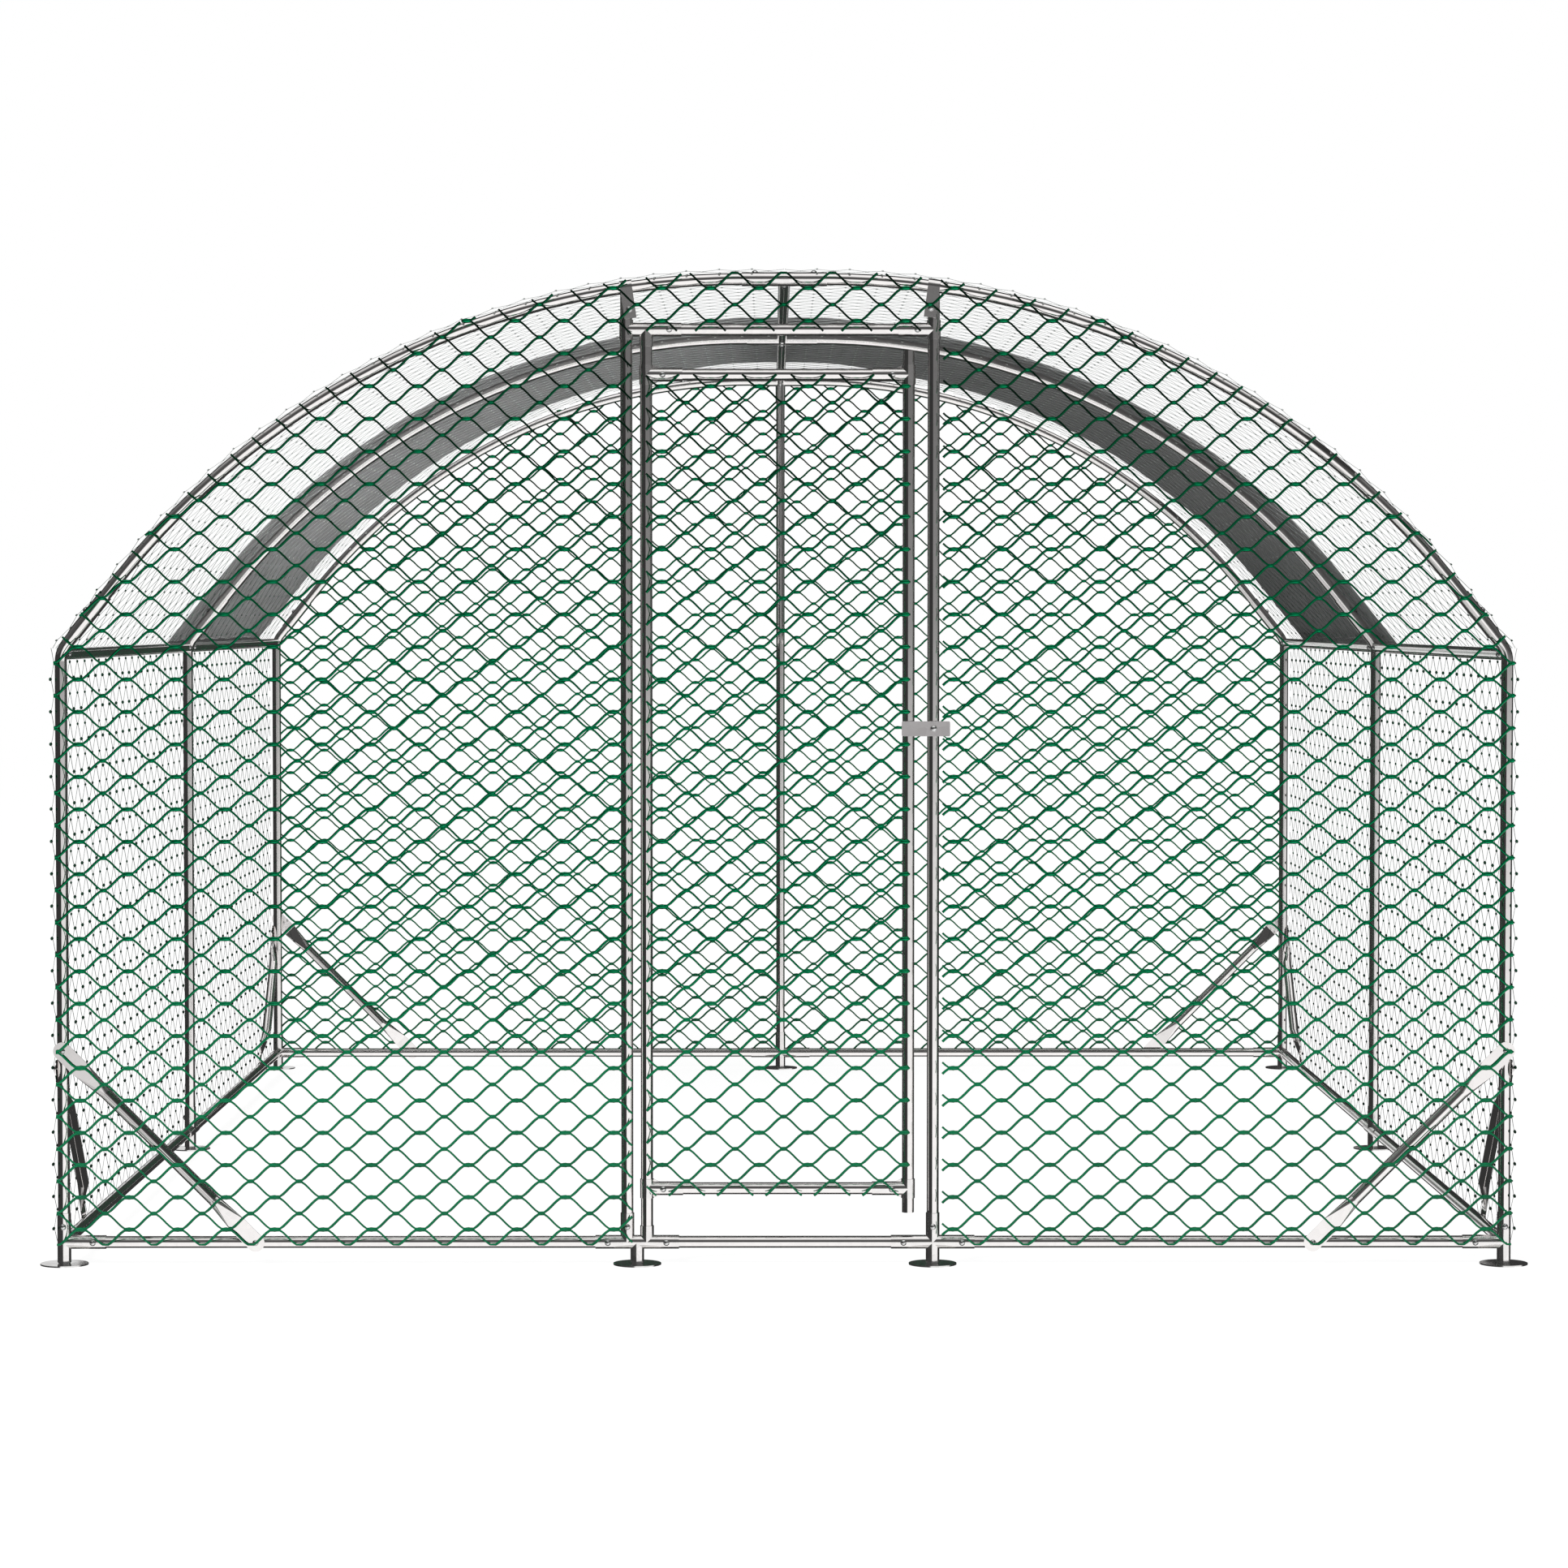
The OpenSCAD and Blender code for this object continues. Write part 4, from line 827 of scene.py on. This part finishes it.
class RUN_OT_weave_nets(bpy.types.Operator):
    """Weaves the netting of the walls, the door and the roof"""

    bl_idname = "poultry_run.weave_nets"
    bl_label = "Weave Nets"

    def execute(self, context):
        run, net = settings().run, settings().net
        arch = Arch(run)
        tree, knot = net_tree(), knot_shape()
        group = coat_group()
        # The front and rear wire gets painted shade on its strands high up
        bright = coated_wire(group, "green coated wire", net.lower_coat, net.coat, UPPER_FROM,
                             net.painted_shade_coat)
        dull = coated_wire(group, "dark coated wire", net.lower_dark_coat, net.dark_coat,
                           UPPER_FROM)
        pale = coated_wire(group, "crown coated wire", net.dark_coat, net.crown_coat,
                           CROWN_FROM)
        front_gauge = Gauge(net.wire, net.mesh_width, 1.0, 6, 6, 1.0, bright)
        rear_gauge = front_gauge._replace(wire=net.rear_wire, steps=4, sides=5)
        side_gauge = Gauge(net.fine_wire, net.side_mesh_width, 0.82, 4, 4, 0.8, dull)
        roof_gauge = side_gauge._replace(wire=net.roof_wire, knots=0.45, finish=pale)
        overlap = run.arch_overlap

        def wall(name, node, body, gauge, outline, column, axes, base):
            axes, base = np.array(axes, float), np.array(base, float)
            mesh = weave_net(name + "_wire", gauge, outline, column, net.knot_row, tree, knot)
            move_points(mesh, lambda points: base + points * (1, 1, gauge.flatten) @ axes)
            add_piece(name + "_wire", mesh, body, [node])

        def end_wall(name, node, body, gauge, outline):
            wall(name, node, body, gauge, outline, net.knot_column,
                 ((1, 0, 0), (0, 0, 1), (0, -1, 0)), (0, middle(node, 1), 0))

        for name in ("front_left_net", "front_right_net", "over_door_net"):
            low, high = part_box(name)
            end_wall(name, name, "frame", front_gauge,
                     arch.outline(overlap, low.z, low.x, high.x))
        low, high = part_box("door_net")
        end_wall("door_net", "door_net", "door", front_gauge,
                 rectangle(low.x, low.z, high.x, high.z))
        low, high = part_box("rear_net")
        for half, start, stop in (("left", low.x, 0.0), ("right", 0.0, high.x)):
            end_wall(f"rear_net_{half}", "rear_net", "frame", rear_gauge,
                     arch.outline(overlap, low.z, start, stop))
        for name, side in (("left_net", -1), ("right_net", 1)):
            low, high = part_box(name)
            plane = middle(name, 0)
            top = arch.meet(abs(plane), run.net_rise)
            wall(name, name, "frame", side_gauge, rectangle(low.y, low.z, high.y, top),
                 side * net.side_column, ((0, side, 0), (0, 0, 1), (side, 0, 0)), (plane, 0, 0))
        self.roof(arch, run, net, roof_gauge, tree, knot)
        bpy.data.objects.remove(knot)
        return {"FINISHED"}

    def roof(self, arch, run, net, gauge, tree, knot):
        """The roof is woven flat, a bay's half at a time, and then laid over the bows"""
        low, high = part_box("roof_net")
        reach = arch.reach(middle("right_net", 0), run.net_rise)

        def drape(points):
            out = run.net_rise + gauge.flatten * points[:, 2]
            across, up = arch.place(-points[:, 1], out)
            return np.stack((across, points[:, 0], up), axis=1)

        for bay, near, far in (("front", low.y, 0.0), ("rear", 0.0, high.y)):
            for side, start, stop in (("right", -reach, 0.0), ("left", 0.0, reach)):
                name = f"roof_net_{bay}_{side}"
                mesh = weave_net(name, gauge, rectangle(near, start, far, stop),
                                 net.side_column, 0.0, tree, knot)
                move_points(mesh, drape)
                add_piece(name, mesh, "frame", ["roof_net"])


class RUN_OT_lay_cover(bpy.types.Operator):
    """Lays the cloth cover over the roof netting, with hems and a little slack"""

    bl_idname = "poultry_run.lay_cover"
    bl_label = "Lay Cover"

    def execute(self, context):
        run, cover = settings().run, settings().cover
        arch = Arch(run)
        low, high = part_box("roof_cover")
        length = high.y - low.y
        reach = arch.length + cover.skirt
        rows = self.lines(-reach, reach, cover.hem, COVER_ROWS)
        columns = self.lines(low.y, high.y, cover.hem, COVER_COLUMNS)
        shape = bmesh.new()
        grid = [[shape.verts.new(self.point(arch, cover, s, y, (y - low.y) / length))
                 for y in columns] for s in rows]
        girth = [0.0]
        for a, b in zip(grid, grid[1:]):
            girth.append(girth[-1] + (b[0].co - a[0].co).length)
        layer = shape.loops.layers.uv.new("cloth")
        for i in range(len(rows) - 1):
            for j in range(len(columns) - 1):
                corners = ((i, j), (i, j + 1), (i + 1, j + 1), (i + 1, j))
                face = shape.faces.new([grid[a][b] for a, b in corners])
                face.smooth = True
                for loop, (a, b) in zip(face.loops, corners):
                    loop[layer].uv = (columns[b] - low.y, girth[a])
        bmesh.ops.recalc_face_normals(shape, faces=shape.faces)
        if sum(f.normal.z for f in shape.faces) < 0:
            bmesh.ops.reverse_faces(shape, faces=shape.faces)
        mesh = bpy.data.meshes.new("roof_cover_cloth")
        shape.to_mesh(mesh)
        shape.free()
        mesh.materials.append(coated_cloth(cover, length, girth[-1]))
        piece = add_piece("roof_cover_cloth", mesh, "frame", ["roof_cover"])
        wall = piece.modifiers.new("thickness", "SOLIDIFY")
        wall.thickness = cover.thickness
        wall.offset = 1.0
        return {"FINISHED"}

    def lines(self, start, stop, hem, count):
        """Places of the cloth's lines from edge to edge, with one at each hem"""
        return sorted({start, stop, start + hem, stop - hem, *np.linspace(start, stop, count)})

    def point(self, arch, cover, s, y, t):
        """A point of the cloth, by its distance from the ridge and its place along the run"""
        sway = 1 + SLACK_SWAY * math.sin(SLACK_ACROSS * s + SLACK_ALONG * t)
        slack = math.sin(math.pi * t) ** 2 * sway
        out = cover.rise + cover.ripple * (SLACK_BASE + slack)
        out += cover.ridge_lift * (1 - smooth(abs(s), RIDGE_FLAT, cover.ridge_reach))
        low_down = max(0.0, abs(s) - arch.arc_end) / arch.haunch
        out += cover.ripple * low_down * math.sin(EDGE_WAVES * y)
        x, z = arch.place(max(-arch.length, min(arch.length, s)), out)
        past = max(0.0, abs(s) - arch.length)
        x += math.copysign(past * math.cos(COVER_LEAN), s)
        return float(x), y, float(z) - past * math.sin(COVER_LEAN)


class RUN_OT_set_stage(bpy.types.Operator):
    """Sets the floor, the studio light and the camera"""

    bl_idname = "poultry_run.set_stage"
    bl_label = "Set Stage"

    def execute(self, context):
        stage = settings().stage
        self.floor(stage)
        self.world(stage)
        self.lamps(stage)
        camera = bpy.data.cameras.new("camera")
        camera.lens = stage.lens
        camera.sensor_width = 36.0
        camera.clip_end = 200.0
        view = bpy.data.objects.new("camera", camera)
        view.location = CAMERA_PLACE
        view.rotation_euler = (CAMERA_TILT, 0.0, CAMERA_PAN)
        context.scene.collection.objects.link(view)
        context.scene.camera = view
        context.scene.view_settings.view_transform = "Standard"
        return {"FINISHED"}

    def floor(self, stage):
        """White, lit by itself for the camera, and unseen by the metal"""
        half = stage.floor / 2
        mesh = bpy.data.meshes.new("floor")
        corners = rectangle(-half, -half, half, half)
        mesh.from_pydata([(x, y, 0) for x, y in corners], [], [(0, 1, 2, 3)])
        floor = bpy.data.objects.new("floor", mesh)
        bpy.context.scene.collection.objects.link(floor)
        shader = Shader("white studio floor")
        shader.dress({
            "Base Color": (FLOOR_TONE, FLOOR_TONE, FLOOR_TONE, 1.0), "Roughness": 0.9,
            "Specular IOR Level": 0.0})
        glow = shader.node("ShaderNodeEmission", {"Strength": FLOOR_GLOW})
        share = shader.calc("MULTIPLY", shader.seen(), FLOOR_GLOW_SHARE)
        shader.feed(shader.mix_shader(share, shader.surface.outputs["BSDF"], glow.outputs[0]),
                    shader.output.inputs["Surface"])
        mesh.materials.append(shader.material)
        floor.visible_glossy = False

    def world(self, stage):
        """White for the camera, even light for dull surfaces, and dark walls for metal"""
        world = bpy.data.worlds.new("studio")
        bpy.context.scene.world = world
        world.use_nodes = True
        nodes = Nodes(world.node_tree)
        calc, step = nodes.calc, nodes.step
        around = nodes.node("ShaderNodeTexCoord").outputs["Generated"]
        parts = nodes.node("ShaderNodeSeparateXYZ", {"Vector": around}).outputs
        x, y, z = (parts[k] for k in "XYZ")
        height = calc("ABSOLUTE", z)
        bands = nodes.node("ShaderNodeValToRGB", {"Fac": nodes.ramp(z, -1.0, 1.0)})
        marks = bands.color_ramp.elements
        marks[0].position, marks[1].position = 0.0, 1.0
        for place, tone in STUDIO_BANDS:
            mark = marks.new((place + 1) / 2)
            mark.color = (tone, tone, tone, 1.0)
        marks[0].color = marks[len(marks) - 1].color = (1.0, 1.0, 1.0, 1.0)
        # A dark wall at the left that fades upwards
        faded = calc("MULTIPLY", step(height, *LEFT_FADE), LEFT_FADED)
        side = calc("MULTIPLY", step(calc("MULTIPLY_ADD", height, LEFT_LEAN, x), *LEFT_WALL),
                    calc("SUBTRACT", 1.0, faded))
        # A dark wall at the rear, with a window in it
        window = calc("MULTIPLY", step(y, *WINDOW_DEPTH), step(x, *WINDOW_EDGE))
        behind = calc("MULTIPLY_ADD", step(z, *REAR_LEVEL), REAR_SHIFT, y)
        rear = calc("MULTIPLY", step(behind, *REAR_WALL), calc("SUBTRACT", 1.0, window))
        # A slanted dark strip at the right
        strip = calc("ABSOLUTE", calc("ADD", calc("SUBTRACT", x, z), FLAG_SHIFT))
        flag = calc("MULTIPLY", step(strip, *FLAG_WIDTH), step(x, *FLAG_EDGE))
        dark = calc("MAXIMUM", calc("MAXIMUM", rear, side), flag)
        bright = calc("MAXIMUM", bands.outputs["Color"], calc("MULTIPLY", window, WINDOW_GLOW))
        studio = calc("MINIMUM", bright, nodes.ramp(dark, 0.0, 1.0, 1.0, DARKEST))
        even = calc("MULTIPLY_ADD", x, stage.white * EVEN_LEAN, stage.white)

        def light(strength):
            return nodes.node("ShaderNodeBackground", {
                "Color": (1.0, 1.0, 1.0, 1.0), "Strength": strength}).outputs[0]

        glossy = nodes.node("ShaderNodeLightPath").outputs["Is Glossy Ray"]
        lit = nodes.mix_shader(glossy, light(even), light(studio))
        nodes.node("ShaderNodeOutputWorld", {
            "Surface": nodes.mix_shader(nodes.seen(), lit, light(1.0))})

    def lamps(self, stage):
        for name, place, aim, size, depth, spread, share in LAMPS:
            light = bpy.data.lights.new(name, "AREA")
            light.energy = stage.key * share
            light.shape = "RECTANGLE"
            light.size, light.size_y = size, depth
            light.spread = math.radians(spread)
            lamp = bpy.data.objects.new(name, light)
            lamp.location = place
            lamp.rotation_euler = (Vector(aim) - Vector(place)).to_track_quat("-Z", "Y").to_euler()
            lamp.visible_glossy = lamp.visible_camera = False
            bpy.context.scene.collection.objects.link(lamp)


class RUN_PT_panel(bpy.types.Panel):
    """Sizes and steps of the run"""

    bl_idname = "RUN_PT_panel"
    bl_label = "Poultry Run"
    bl_space_type = "VIEW_3D"
    bl_region_type = "UI"
    bl_category = "Poultry Run"

    def draw(self, context):
        values = context.scene.poultry_run
        for group in (values.run, values.net, values.cover, values.stage):
            box = self.layout.box()
            for name in group.__annotations__:
                box.prop(group, name)
        for operator in OPERATORS:
            self.layout.operator(operator.bl_idname)


OPERATORS = (RUN_OT_finish_steel, RUN_OT_weave_nets, RUN_OT_lay_cover, RUN_OT_set_stage)
CLASSES = (RunSizes, NetSizes, CoverSizes, StageSizes, PoultryRun, *OPERATORS, RUN_PT_panel)


def register():
    for cls in CLASSES:
        bpy.utils.register_class(cls)
    bpy.types.Scene.poultry_run = PointerProperty(type=PoultryRun)


def unregister():
    del bpy.types.Scene.poultry_run
    for cls in reversed(CLASSES):
        bpy.utils.unregister_class(cls)


def main():
    register()
    bpy.ops.poultry_run.finish_steel()
    bpy.ops.poultry_run.weave_nets()
    bpy.ops.poultry_run.lay_cover()
    bpy.ops.poultry_run.set_stage()


if __name__ == "__main__":
    main()
